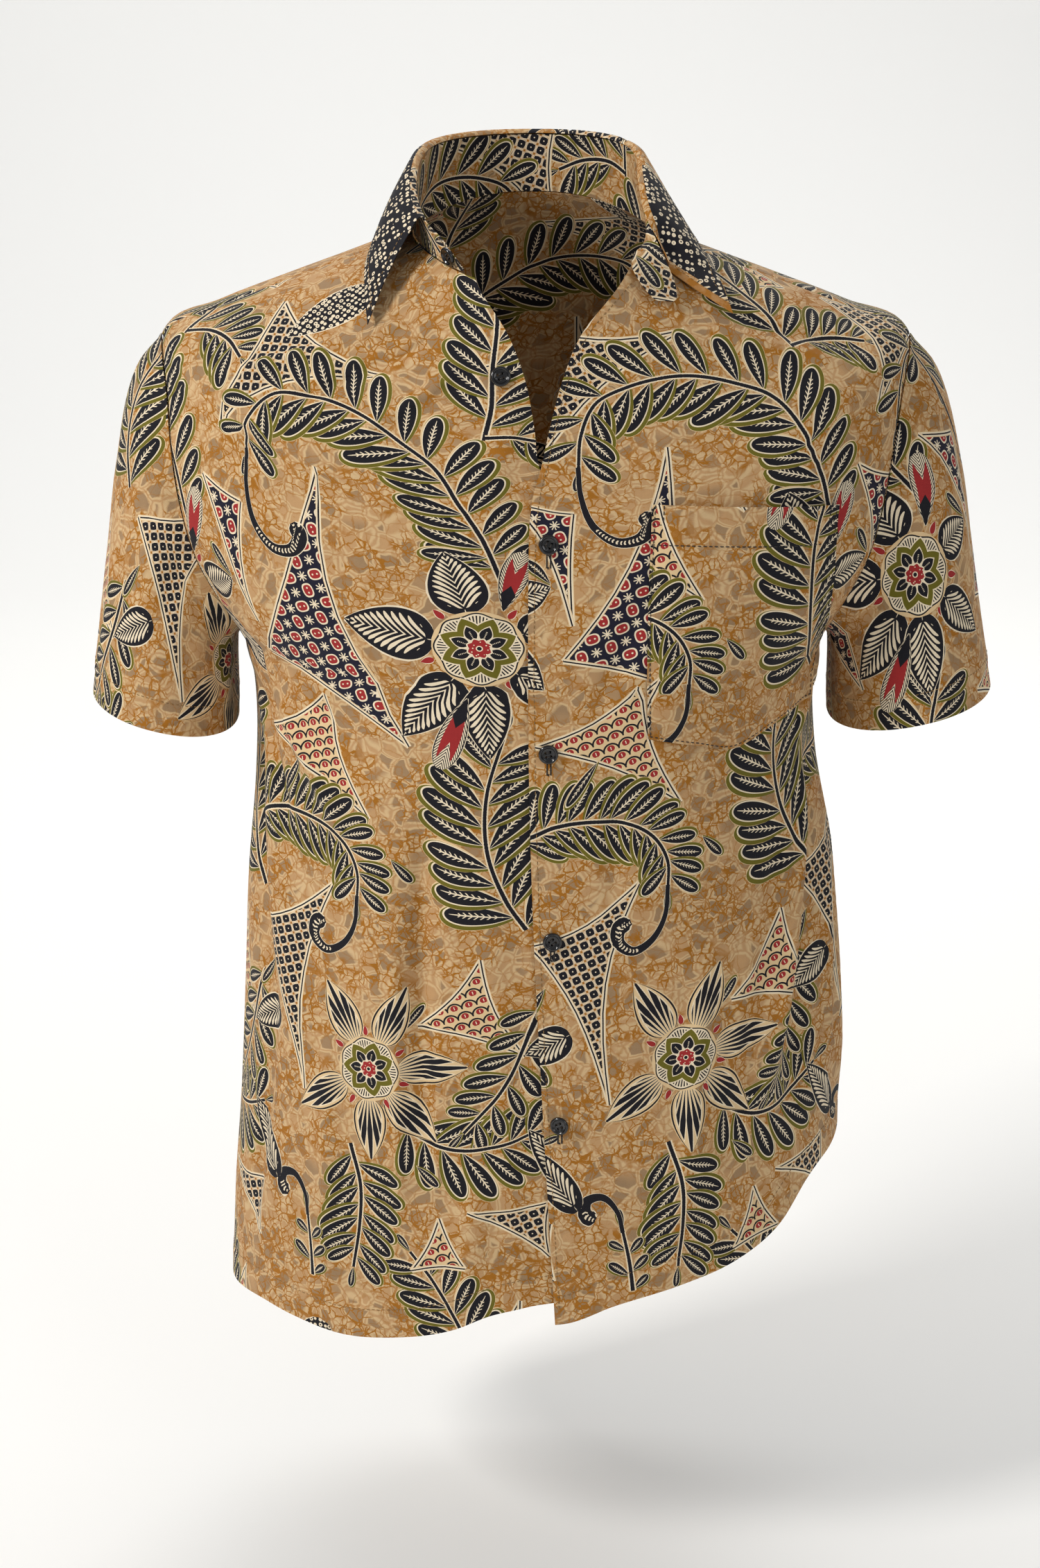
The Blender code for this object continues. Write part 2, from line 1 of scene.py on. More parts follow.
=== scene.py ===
"""Short-sleeve shirt of printed cotton, empty and in its worn shape.

Metres in the scene, millimetres in the tables. The front faces -Y, the wearer's left is +X, +Z is up.
Cloth pieces are cut flat first: the print is laid on each flat piece and then taken to its worn form.
"""
import math
from functools import partial

import bmesh
import bpy
import numpy as np
from mathutils import Matrix, Vector
from mathutils.bvhtree import BVHTree
from mathutils.geometry import delaunay_2d_cdt


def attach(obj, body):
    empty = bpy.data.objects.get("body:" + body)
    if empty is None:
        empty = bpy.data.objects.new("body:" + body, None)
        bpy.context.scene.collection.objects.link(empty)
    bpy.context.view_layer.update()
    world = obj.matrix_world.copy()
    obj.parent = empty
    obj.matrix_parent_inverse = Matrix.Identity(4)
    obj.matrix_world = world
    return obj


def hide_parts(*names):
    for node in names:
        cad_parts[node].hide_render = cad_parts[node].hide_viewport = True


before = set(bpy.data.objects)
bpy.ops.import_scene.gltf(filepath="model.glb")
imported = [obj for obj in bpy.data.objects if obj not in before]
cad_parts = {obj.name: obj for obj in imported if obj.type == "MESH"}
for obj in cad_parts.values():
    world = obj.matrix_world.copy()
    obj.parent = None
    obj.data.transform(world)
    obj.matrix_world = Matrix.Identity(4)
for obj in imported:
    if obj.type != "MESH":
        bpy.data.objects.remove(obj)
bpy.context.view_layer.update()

MM = 0.001

# Thickness of the poplin, length of a stitch, step from one stitch to the next, and width of the hems.
CLOTH = 0.45
STITCH_LENGTH = 2.4
STITCH_PITCH = 3.3
HEM_WIDTH = 19.0

# How far the right front lies behind the left one, how square the body's sections are (2 is round), and
# where the shoulder seam meets the neck.
UNDERLAP_DROP = 2.4
ROUNDNESS = 2.3
SEAM_ANGLE = 84.0

# Millimetres round the body to one degree, for seams and for folds; sleeve and pocket sizes for their relief.
SEAM_DEGREE = 3.0
FOLD_DEGREE = 2.9
SLEEVE_GIRTH = 400.0
SLEEVE_LENGTH = 215.0
POCKET_WIDTH = 108.0
POCKET_DEPTH = 140.0

# Share of a surface's measure over which its slope is taken.
SLOPE_STEP = 0.002

# Rounds of easing in which a flat pattern settles, for its two kinds of start.
ROUNDS = 600
ROUNDS_FROM_FOOT = 1200

# Rings of the shoulders and chest, from the neck seam (0) to the armpits (7).
RING_COLUMNS = ("side_z", "front_z", "back_z", "half_right", "half_left", "front", "back")
RINGS = (
    (-4.0, -24.0, 12.0, 72.0, 72.0, 97.0, 66.0),
    (-17.0, -55.0, -15.0, 110.0, 110.0, 108.0, 85.0),
    (-31.0, -86.0, -46.0, 150.0, 150.0, 118.0, 98.0),
    (-46.0, -116.0, -80.0, 190.0, 190.0, 126.0, 106.0),
    (-62.0, -146.0, -115.0, 222.0, 225.0, 132.0, 110.0),
    (-120.0, -180.0, -158.0, 232.0, 230.0, 137.0, 112.0),
    (-180.0, -216.0, -202.0, 220.0, 218.0, 140.0, 113.0),
    (-245.0, -255.0, -250.0, 178.0, 178.0, 141.0, 113.0),
)

# Body below the armpits, by height.
BODY_COLUMNS = ("z", "half_right", "half_left", "front", "back")
BODY = (
    (-245.0, 178.0, 178.0, 141.0, 113.0),
    (-262.0, 174.0, 175.0, 141.0, 113.0),
    (-290.0, 172.0, 174.0, 141.0, 112.0),
    (-340.0, 174.0, 179.0, 140.0, 111.0),
    (-400.0, 180.0, 186.0, 139.0, 111.0),
    (-470.0, 184.0, 193.0, 139.0, 113.0),
    (-550.0, 189.0, 198.0, 139.0, 116.0),
    (-620.0, 195.0, 199.0, 139.0, 118.0),
    (-720.0, 200.0, 199.0, 139.0, 120.0),
)

# Hem height by angle round the body: 0 is centre front, +90 the wearer's left, 180 centre back.
# The right front's own hem, under the left front, is in the last column.
HEM_COLUMNS = ("angle", "z", "under_z")
HEM = (
    (-180.0, -684.0, -684.0),
    (-140.0, -695.0, -695.0),
    (-110.0, -691.0, -691.0),
    (-90.0, -682.0, -682.0),
    (-78.0, -677.0, -677.0),
    (-60.0, -670.0, -670.0),
    (-48.0, -671.0, -671.0),
    (-33.0, -674.0, -674.0),
    (-20.0, -669.0, -669.0),
    (-12.0, -662.0, -662.0),
    (-5.0, -656.0, -650.0),
    (4.0, -656.0, -642.0),
    (12.0, -645.0, -641.0),
    (24.0, -635.0, -641.0),
    (36.0, -625.0, -640.0),
    (48.0, -609.0, -640.0),
    (58.0, -586.0, -640.0),
    (68.0, -577.0, -640.0),
    (90.0, -575.0, -640.0),
    (115.0, -612.0, -640.0),
    (145.0, -656.0, -640.0),
    (180.0, -684.0, -684.0),
)

# Front edges: x of the left front's edge and of the right front's edge, by height.
EDGE_COLUMNS = ("z", "left_x", "right_x")
EDGES = (
    (-10.0, 60.0, -38.0),
    (-26.0, 48.0, -31.0),
    (-50.0, 27.0, -15.0),
    (-75.0, 16.0, -5.0),
    (-100.0, 9.0, 0.0),
    (-122.0, 4.0, 3.0),
    (-140.0, -1.0, 12.0),
    (-165.0, -3.0, 20.0),
    (-290.0, -3.0, 21.0),
    (-400.0, 0.0, 24.0),
    (-520.0, 6.0, 30.0),
    (-680.0, 15.0, 38.0),
)

# Armhole edge angle on the front and back panels, by ring number.
ARMHOLE_COLUMNS = ("ring", "front_angle", "back_angle")
ARMHOLE = (
    (4.0, 84.0, 84.0),
    (4.15, 76.0, 93.0),
    (4.4, 69.0, 102.0),
    (4.8, 65.5, 109.0),
    (5.2, 64.0, 113.0),
    (5.6, 63.5, 115.0),
    (6.0, 64.5, 115.0),
    (6.4, 67.0, 112.0),
    (6.7, 72.0, 107.0),
    (6.9, 79.0, 100.0),
    (7.0, 90.0, 90.0),
)

# Sleeve sections from armhole to cuff: outer and inner ends of each section, and its reach fore and aft.
SLEEVE_COLUMNS = ("run", "outer_right", "outer_left", "outer_z", "inner_x", "inner_z", "front", "back")
SLEEVE = (
    (0.0, 220.0, 223.0, -62.0, 178.0, -245.0, 66.0, 74.0),
    (0.1, 236.0, 240.0, -80.0, 182.5, -250.0, 68.0, 75.0),
    (0.22, 247.0, 252.0, -105.0, 184.0, -257.0, 69.0, 76.0),
    (0.38, 254.0, 261.0, -143.0, 184.5, -267.0, 69.5, 77.0),
    (0.55, 260.0, 268.0, -186.0, 184.5, -278.0, 70.0, 78.0),
    (0.75, 267.0, 276.0, -234.0, 184.5, -291.0, 70.5, 79.0),
    (1.0, 274.0, 285.0, -283.0, 184.5, -306.0, 71.0, 80.0),
)
CUFF_LIFT_LEFT = 4.0
SLEEVE_ROUNDNESS = 2.15

# Soft folds of the body: angle and height of the fold's top and of its foot, half width, and depth outward.
FOLDS = (
    (76.0, -290.0, 50.0, -545.0, 15.0, -8.0),
    (60.0, -300.0, 38.0, -520.0, 17.0, 4.0),
    (88.0, -330.0, 78.0, -560.0, 15.0, 5.0),
    (-80.0, -290.0, -60.0, -470.0, 13.0, -7.0),
    (-68.0, -300.0, -47.0, -500.0, 15.0, 4.0),
    (-18.0, -315.0, -17.0, -470.0, 9.0, -3.5),
    (-28.0, -330.0, -27.0, -560.0, 14.0, 3.0),
    (118.0, -290.0, 128.0, -600.0, 18.0, -7.0),
    (136.0, -250.0, 146.0, -640.0, 20.0, 6.0),
    (158.0, -200.0, 163.0, -560.0, 18.0, -4.0),
    (-116.0, -290.0, -126.0, -620.0, 18.0, -7.0),
    (-135.0, -250.0, -144.0, -660.0, 20.0, 6.0),
    (-160.0, -180.0, -164.0, -540.0, 18.0, -4.0),
    (-104.0, -320.0, -100.0, -600.0, 15.0, 5.0),
)

# Collar stand, from the wearer's right end round the neck to the wearer's left end. The foot follows the
# neck seam at an angle, and near the left end lies out over the front. Each row gives the foot's angle, level
# and distance out from the neck seam, and then the top's place.
STAND = (
    (-30.0, 0.0, 0.3, -43.0, -87.0, -12.0),
    (-36.5, 0.0, 0.2, -53.0, -77.0, 0.0),
    (-49.0, 0.0, 0.0, -63.5, -60.0, 9.5),
    (-64.0, 0.0, 0.0, -69.0, -37.0, 21.0),
    (-80.0, 0.0, 0.0, -69.0, -12.0, 33.0),
    (-98.0, 0.0, 0.0, -64.5, 13.0, 40.5),
    (-121.0, 0.0, 0.0, -53.0, 37.0, 44.5),
    (-149.0, 0.0, 0.0, -30.0, 54.5, 46.5),
    (-180.0, 0.0, 0.0, 0.0, 61.5, 47.0),
    (-211.0, 0.0, 0.0, 30.0, 54.5, 46.5),
    (-239.0, 0.0, 0.0, 51.5, 37.0, 44.0),
    (-262.0, 0.0, 0.0, 61.5, 11.0, 38.5),
    (-280.0, 0.0, 0.2, 62.5, -17.0, 27.0),
    (-294.0, 0.0, 1.2, 65.0, -41.0, 11.0),
    (-307.5, 0.0, 3.4, 70.5, -57.0, -3.0),
    (-319.0, 0.18, 5.2, 77.0, -69.5, -16.5),
    (-324.5, 0.80, 7.0, 84.5, -84.0, -35.0),
)
STAND_END_ROUND = 0.62

# Collar fall: number of the stand station, and the free edge there.
FALL_COLUMNS = ("station", "edge_x", "edge_y", "edge_z")
FALL = (
    (1.9, -95.0, -92.0, -46.5),
    (2.6, -97.5, -70.0, -30.0),
    (3.3, -98.0, -45.0, -16.5),
    (4.2, -93.5, -16.0, -8.5),
    (5.0, -85.0, 18.0, -4.0),
    (6.0, -67.0, 52.0, -1.0),
    (7.0, -38.0, 73.0, 2.0),
    (8.0, 0.0, 80.0, 4.0),
    (9.0, 38.0, 73.0, 2.0),
    (10.0, 67.0, 52.0, -1.0),
    (11.0, 85.0, 18.0, -5.0),
    (11.9, 96.0, -12.0, -8.5),
    (12.9, 103.0, -40.0, -17.5),
    (13.9, 109.0, -62.0, -28.0),
    (14.9, 114.0, -81.0, -41.5),
)

# Chest pocket outline seen from the front: x of both sides by depth down the pocket.
POCKET_COLUMNS = ("run", "inner_x", "outer_x")
POCKET = (
    (0.0, 67.0, 175.0),
    (0.35, 65.5, 174.5),
    (0.7, 65.0, 172.0),
    (1.0, 66.0, 164.0),
)
POCKET_TOP_COLUMNS = ("across", "z")
POCKET_TOP = ((0.0, -143.0), (0.5, -146.0), (1.0, -149.0))
POCKET_FOOT_COLUMNS = ("across", "z")
POCKET_FOOT = ((0.0, -280.0), (0.3, -287.0), (0.52, -292.0), (0.75, -284.0), (1.0, -275.0))

# Front buttons below the collar: x and height; the first is sewn where the right front shows.
BUTTONS = ((-19.0, -73.0), (8.0, -165.0), (8.5, -287.0), (11.0, -403.0), (16.0, -521.0))
COLLAR_BUTTON_STATION = 0.85


# Finer creases, seen on the cloth but too slight for the solids: same columns as the soft folds.
CREASES = (
    (-62.0, -262.0, -36.0, -345.0, 6.0, 4.9),
    (-72.0, -268.0, -55.0, -350.0, 6.0, -4.5),
    (-50.0, -258.0, -28.0, -300.0, 7.0, -2.7),
    (-20.0, -330.0, -17.0, -560.0, 5.0, -3.6),
    (-24.0, -380.0, -22.0, -600.0, 5.0, 3.6),
    (66.0, -300.0, 44.0, -520.0, 7.0, 6.8),
    (54.0, -330.0, 33.0, -560.0, 7.0, -4.1),
    (80.0, -360.0, 66.0, -540.0, 7.0, 4.5),
    (30.0, -420.0, 24.0, -610.0, 8.0, 3.3),
    (-8.0, -560.0, -10.0, -650.0, 8.0, 3.2),
    (-40.0, -480.0, -38.0, -650.0, 10.0, 3.6),
    (-58.0, -440.0, -66.0, -640.0, 9.0, -4.1),
    (14.0, -180.0, 10.0, -270.0, 6.0, -2.1),
    (14.0, -300.0, 12.0, -390.0, 6.0, -2.1),
    (-24.0, -48.0, -44.0, -92.0, 5.0, -3.6),
    (-34.0, -42.0, -58.0, -78.0, 5.0, 3.2),
    (-14.0, -62.0, -30.0, -112.0, 5.0, 3.0),
    (44.0, -48.0, 60.0, -74.0, 6.0, 2.7),
    (52.0, -44.0, 68.0, -66.0, 5.0, -2.7),
    (78.0, -250.0, 62.0, -300.0, 6.0, 4.1),
    (102.0, -255.0, 120.0, -320.0, 7.0, 4.5),
    (-102.0, -255.0, -120.0, -320.0, 7.0, 4.5),
    (110.0, -262.0, 138.0, -330.0, 7.0, -4.1),
    (-110.0, -262.0, -138.0, -330.0, 7.0, -4.1),
    (150.0, -70.0, 172.0, -92.0, 9.0, 2.7),
    (-150.0, -70.0, -172.0, -92.0, 9.0, 2.7),
    (128.0, -330.0, 136.0, -560.0, 8.0, 4.5),
    (-126.0, -330.0, -134.0, -560.0, 8.0, 4.5),
    (170.0, -420.0, 174.0, -650.0, 12.0, 4.5),
    (-172.0, -440.0, -176.0, -640.0, 12.0, -4.5),
)

# Sleeve creases: turn and run at both ends, half width and depth. Turn 0 is outermost, 0.25 the front.
SLEEVE_CREASES = (
    (0.30, 0.02, 0.24, 0.55, 8.0, 2.6),
    (0.36, 0.05, 0.33, 0.60, 7.0, -2.4),
    (0.22, 0.00, 0.15, 0.35, 7.0, -1.6),
    (0.10, 0.30, 0.12, 0.95, 12.0, -1.6),
    (0.02, 0.05, 0.04, 0.40, 9.0, 1.2),
    (-0.10, 0.30, -0.12, 0.95, 12.0, 1.6),
    (-0.24, 0.00, -0.20, 0.50, 8.0, -2.0),
    (-0.32, 0.02, -0.28, 0.60, 8.0, 2.4),
    (0.44, 0.10, 0.42, 0.80, 6.0, -1.8),
    (-0.42, 0.10, -0.40, 0.80, 6.0, -1.8),
)


def smooth(keys, values, t):
    """Cubic through a table's points, with slopes taken from the neighbours."""
    keys = np.asarray(keys, float)
    values = np.asarray(values, float)
    t = np.asarray(t, float)
    if keys[0] > keys[-1]:
        keys = -keys
        t = -t
    t = np.clip(t, keys[0], keys[-1])
    i = np.clip(np.searchsorted(keys, t) - 1, 0, len(keys) - 2)
    above = np.append(np.arange(1, len(keys)), len(keys) - 1)
    below = np.append(0, np.arange(len(keys) - 1))
    slope = (values[above] - values[below]) / (keys[above] - keys[below])
    span = keys[i + 1] - keys[i]
    u = (t - keys[i]) / span
    m0 = slope[i] * span
    m1 = slope[i + 1] * span
    return ((2 * u**3 - 3 * u**2 + 1) * values[i] + (u**3 - 2 * u**2 + u) * m0
            + (3 * u**2 - 2 * u**3) * values[i + 1] + (u**3 - u**2) * m1)


def read(table, columns, key, name, t):
    """Smooth value of a named column where the key column is t."""
    k = columns.index(key)
    n = columns.index(name)
    return smooth([row[k] for row in table], [row[n] for row in table], t)


def ring_value(name, ring):
    """Smooth value of a named column of the shoulder and chest rings."""
    k = RING_COLUMNS.index(name)
    return smooth(range(len(RINGS)), [row[k] for row in RINGS], ring)


def powered(value, exponent):
    """Signed power, for the rounded-square sections."""
    return np.sign(value) * np.abs(value) ** exponent


def ease(u):
    """Rises smoothly from 0 to 1."""
    u = np.clip(u, 0.0, 1.0)
    return u * u * (3.0 - 2.0 * u)


def rows_of(*parts):
    """Points as rows, from their coordinates."""
    return np.stack(np.broadcast_arrays(*parts), axis=-1)


def unit(v):
    """Rows scaled to length one."""
    return v / np.maximum(np.linalg.norm(v, axis=-1, keepdims=True), 1e-12)


def section(angle, half_right, half_left, front, back):
    """Point on a rounded-square section of the body at an angle."""
    a = np.radians(angle)
    s = powered(np.sin(a), 2.0 / ROUNDNESS)
    c = powered(np.cos(a), 2.0 / ROUNDNESS)
    return s * np.where(s > 0.0, half_left, half_right), -c * np.where(c > 0.0, front, back)


def plain_body(angle, level, under=False):
    """Body surface without folds. Levels 0 to 7 are the rings, 7 to 8 run from armpit to hem."""
    angle, level = np.broadcast_arrays(np.asarray(angle, float), np.asarray(level, float))
    lift = np.cos(np.radians(angle)) ** 2
    ring = np.minimum(level, 7.0)
    side_z = ring_value("side_z", ring)
    end_z = np.where(np.abs(angle) < 90.0, ring_value("front_z", ring), ring_value("back_z", ring))
    z = side_z + (end_z - side_z) * lift
    hem_z = read(HEM, HEM_COLUMNS, "angle", "under_z" if under else "z", angle)
    z = z + (hem_z - z) * np.maximum(level - 7.0, 0.0)
    mix = np.clip((level - 7.0) * 20.0, 0.0, 1.0)
    sizes = []
    for name in ("half_right", "half_left", "front", "back"):
        upper = ring_value(name, ring)
        lower = read(BODY, BODY_COLUMNS, "z", name, z)
        sizes.append(upper + (lower - upper) * mix)
    x, y = section(angle, *sizes)
    return rows_of(x, y, z)


def line_relief(table, a, b, scale, second):
    """Height of creases given as lines between two places, in a surface's own two measures."""
    total = np.zeros(np.broadcast(a, b).shape)
    for top_a, top_b, foot_a, foot_b, half_width, depth in table:
        along_a = (foot_a - top_a) * scale
        along_b = (foot_b - top_b) * second
        length = math.hypot(along_a, along_b)
        pa = (a - top_a) * scale
        pb = (b - top_b) * second
        run = (pa * along_a + pb * along_b) / (length * length)
        away = (pa * along_b - pb * along_a) / length
        fade = ease(np.minimum((run + 0.05) / 0.3, (1.05 - run) / 0.3))
        total = total + depth * fade * np.exp(-(away / half_width) ** 2)
    return total


def fold_offset(angle, z):
    """How far the folds and creases move the cloth outward."""
    table = FOLDS + CREASES
    turned = np.where(angle > 0.0, angle - 360.0, angle + 360.0)
    total = line_relief(table, angle, z, FOLD_DEGREE, 1.0)
    return total + np.where(np.abs(angle) > 150.0, line_relief(table, turned, z, FOLD_DEGREE, 1.0), 0.0)


def body_normal(angle, level, under=False):
    """Outward direction of the body surface."""
    across = plain_body(angle + 0.6, level, under) - plain_body(angle - 0.6, level, under)
    down = plain_body(angle, np.minimum(level + 0.02, 8.0), under) - plain_body(
        angle, np.maximum(level - 0.02, 0.0), under)
    return unit(np.cross(down, across))


def body(angle, level, out=0.0, under=False):
    """Body surface with its folds, moved outward by out."""
    p = plain_body(angle, level, under)
    offset = fold_offset(angle, p[..., 2]) + out
    return p + body_normal(angle, level) * offset[..., None]


def angle_at_x(x, level):
    """Angle on the front at which the body has a given x."""
    angle = np.zeros(np.broadcast(x, level).shape)
    for _ in range(30):
        step = plain_body(angle + 0.5, level)[..., 0] - plain_body(angle - 0.5, level)[..., 0]
        error = x - plain_body(angle, level)[..., 0]
        angle = np.clip(angle + np.clip(error / np.maximum(step, 0.05), -12.0, 12.0), -89.0, 89.0)
    return angle


def edge_angle(side, level):
    """Angle of a front's free edge at a level."""
    name = "left_x" if side > 0 else "right_x"
    angle = np.where(level < 1.0, 20.0 * side, 0.0)
    for _ in range(8):
        z = plain_body(angle, level)[..., 2]
        angle = angle_at_x(read(EDGES, EDGE_COLUMNS, "z", name, z), level)
    return angle


def outer_angle(side, level, which):
    """Angle of a panel's edge away from its middle: shoulder seam, armhole or side seam."""
    armhole = read(ARMHOLE, ARMHOLE_COLUMNS, "ring", which, level)
    return side * np.where(level <= 4.0, SEAM_ANGLE, np.where(level <= 7.0, armhole, 90.0))


def seam_roll(distance):
    """Cloth turns in by a fraction of a millimetre where it is sewn."""
    return -0.7 * np.exp(-(np.maximum(distance, 0.0) / 1.5) ** 2)


def hem_relief(distance, width):
    """Folded hem: a little thicker than the cloth, with a dip along its row of stitches."""
    return 0.45 * ease((width + 1.5 - distance) / 3.0) - 0.5 * np.exp(-((distance - width + 1.0) / 1.3) ** 2)


def pucker(along, distance, width):
    """Small ripples that the stitches pull up beside a hem."""
    return 0.22 * np.sin(along * 0.95 + 1.3 * np.sin(along * 0.21)) * np.exp(-((distance - width) / 7.0) ** 2)


SAMPLED = np.linspace(0.0, 8.0, 401)


def front_surface(side):
    """Worn form of one front, by share of the way across and by level."""
    start = edge_angle(side, SAMPLED)
    end = outer_angle(side, SAMPLED, "front_angle")
    under = side < 0

    def surface(across, level):
        angle = np.interp(level, SAMPLED, start)
        angle = angle + (np.interp(level, SAMPLED, end) - angle) * across
        p = plain_body(angle, level, under)
        x, z = p[..., 0], p[..., 2]
        width = np.abs(np.interp(level, SAMPLED, end) - np.interp(level, SAMPLED, start)) * SEAM_DEGREE
        out = seam_roll((1.0 - across) * width)
        hem_z = read(HEM, HEM_COLUMNS, "angle", "under_z" if under else "z", angle)
        out = out + hem_relief(z - hem_z, HEM_WIDTH) + pucker(x, z - hem_z, HEM_WIDTH)
        if under:
            edge = read(EDGES, EDGE_COLUMNS, "z", "left_x", z)
            out = out - UNDERLAP_DROP * ease((x - (edge - 26.0)) / 18.0)
        else:
            out = out + 0.35 * ease(1.0 - across * width / 40.0)
        return body(angle, level, out, under)

    return surface


def back_surface():
    """Worn form of the back, from the wearer's left side round to the right."""
    start = outer_angle(1.0, SAMPLED, "back_angle")

    def surface(across, level):
        angle = np.interp(level, SAMPLED, start)
        width = (360.0 - 2.0 * angle) * SEAM_DEGREE
        angle = angle + (360.0 - 2.0 * angle) * across
        angle = np.where(angle > 180.0, angle - 360.0, angle)
        z = plain_body(angle, level)[..., 2]
        hem_z = read(HEM, HEM_COLUMNS, "angle", "z", angle)
        out = seam_roll(np.minimum(across, 1.0 - across) * width)
        out = out + hem_relief(z - hem_z, HEM_WIDTH)
        out = out + pucker(angle * SEAM_DEGREE, z - hem_z, HEM_WIDTH)
        return body(angle, level, out)

    return surface


def sleeve_section(side, run, turn):
    """Point of a sleeve's section; turn 0 is outermost, 0.25 front, 0.5 innermost, 0.75 back."""
    values = {n: read(SLEEVE, SLEEVE_COLUMNS, "run", n, run) for n in SLEEVE_COLUMNS[1:]}
    outer_x = values["outer_left"] if side > 0 else values["outer_right"]
    c = powered(np.cos(2.0 * math.pi * turn), 2.0 / SLEEVE_ROUNDNESS)
    s = powered(np.sin(2.0 * math.pi * turn), 2.0 / SLEEVE_ROUNDNESS)
    middle_x = 0.5 * (outer_x + values["inner_x"])
    middle_z = 0.5 * (values["outer_z"] + values["inner_z"])
    x = middle_x + c * (outer_x - middle_x)
    z = middle_z + c * (values["outer_z"] - middle_z)
    if side > 0:
        z = z + CUFF_LIFT_LEFT * run * run
    y = -s * np.where(s > 0.0, values["front"], values["back"])
    return rows_of(side * x, y, z)


def sleeve_surface(side):
    """Worn form of one sleeve, by turn from -0.5 to 0.5 and by run from armhole to cuff."""
    rings = np.linspace(4.0, 7.0, 121)
    loop = []
    for which in ("front_angle", "back_angle"):
        angle = side * read(ARMHOLE, ARMHOLE_COLUMNS, "ring", which, rings)
        edge = body(angle, rings)
        length = np.append(0.0, np.cumsum(np.linalg.norm(np.diff(edge, axis=0), axis=1)))
        loop.append((0.5 * length / length[-1], edge))

    def surface(across, run):
        turn = across - 0.5
        shares = np.abs(turn)
        front = np.stack([np.interp(shares, loop[0][0], loop[0][1][:, i]) for i in range(3)], axis=-1)
        back = np.stack([np.interp(shares, loop[1][0], loop[1][1][:, i]) for i in range(3)], axis=-1)
        held = np.where((turn >= 0.0)[..., None], front, back)
        free = sleeve_section(side, run, turn)
        held = held + free - sleeve_section(side, np.zeros_like(run), turn)
        p = held + (free - held) * ease(run / 0.28)[..., None]
        ahead = sleeve_section(side, np.minimum(run + 0.02, 1.0), turn)
        behind = sleeve_section(side, np.maximum(run - 0.02, 0.0), turn)
        across_step = sleeve_section(side, run, turn + 0.01) - sleeve_section(side, run, turn - 0.01)
        outward = unit(np.cross(ahead - behind, across_step)) * side
        cuff = (1.0 - run) * SLEEVE_LENGTH
        out = line_relief(SLEEVE_CREASES, turn, run, SLEEVE_GIRTH, SLEEVE_LENGTH)
        out = out + seam_roll(run * SLEEVE_LENGTH) + hem_relief(cuff, HEM_WIDTH)
        out = out + pucker(turn * SLEEVE_GIRTH, cuff, HEM_WIDTH)
        return p + outward * out[..., None]

    return surface


def stand_place(station, run):
    """Point of the collar stand's outer face; run 0 is the seam, 1 the top."""
    k = range(len(STAND))
    angle, level, out, x, y, z = [smooth(k, [row[i] for row in STAND], station) for i in range(6)]
    angle = np.where(angle < -180.0, angle + 360.0, angle)
    level = np.maximum(level, 0.0)
    seam = plain_body(angle, level)
    rise = unit(seam - plain_body(angle, level + 0.05))
    foot = seam + rise * 0.9 + body_normal(angle, level) * out[..., None]
    return foot + (rows_of(x, y, z) - foot) * run[..., None]


def stand_outward(station):
    """Direction out of the neck, square to the stand."""
    last = len(STAND) - 1.0
    half = np.full_like(station, 0.5)
    ahead = stand_place(np.minimum(station + 0.2, last), half)
    along = ahead - stand_place(np.maximum(station - 0.2, 0.0), half)
    up = stand_place(station, half * 2.0) - stand_place(station, half * 0.0)
    return unit(np.cross(up, along))


def stand_surface(across, run):
    """Worn form of the collar stand with both ends rounded."""
    last = len(STAND) - 1.0
    station = across * last
    near_end = np.minimum(station, last - station)
    u = np.clip(1.0 - near_end / STAND_END_ROUND, 0.0, 1.0)
    squeeze = np.sqrt(np.maximum(1.0 - u * u, 0.0)) * 0.55 + 0.45
    return stand_place(station, 0.5 + (run - 0.5) * squeeze)


def fall_surface(across, run):
    """Worn form of the turned-down collar, from one point round to the other."""
    station = FALL[0][0] + (FALL[-1][0] - FALL[0][0]) * across
    top = stand_place(station, np.ones_like(station))
    up = unit(top - stand_place(station, np.zeros_like(station)))
    out = stand_outward(station)
    edge = rows_of(*[read(FALL, FALL_COLUMNS, "station", n, station) for n in FALL_COLUMNS[1:]])
    over = [top + up * 1.2 - out * 1.2, top + up * 4.4 + out * 1.6, top + up * 1.8 + out * 4.8]
    u = np.clip(run / 0.16, 0.0, 1.0)[..., None]
    a = over[0] + (over[1] - over[0]) * u
    b = over[1] + (over[2] - over[1]) * u
    bend = a + (b - a) * u
    u = np.clip((run - 0.16) / 0.84, 0.0, 1.0)[..., None]
    bulge = out * (1.8 * np.sin(math.pi * u)) + np.array((0.0, 0.0, 1.2)) * np.sin(math.pi * u)
    leaf = over[2] + (edge - over[2]) * u + bulge
    return np.where((run <= 0.16)[..., None], bend, leaf)


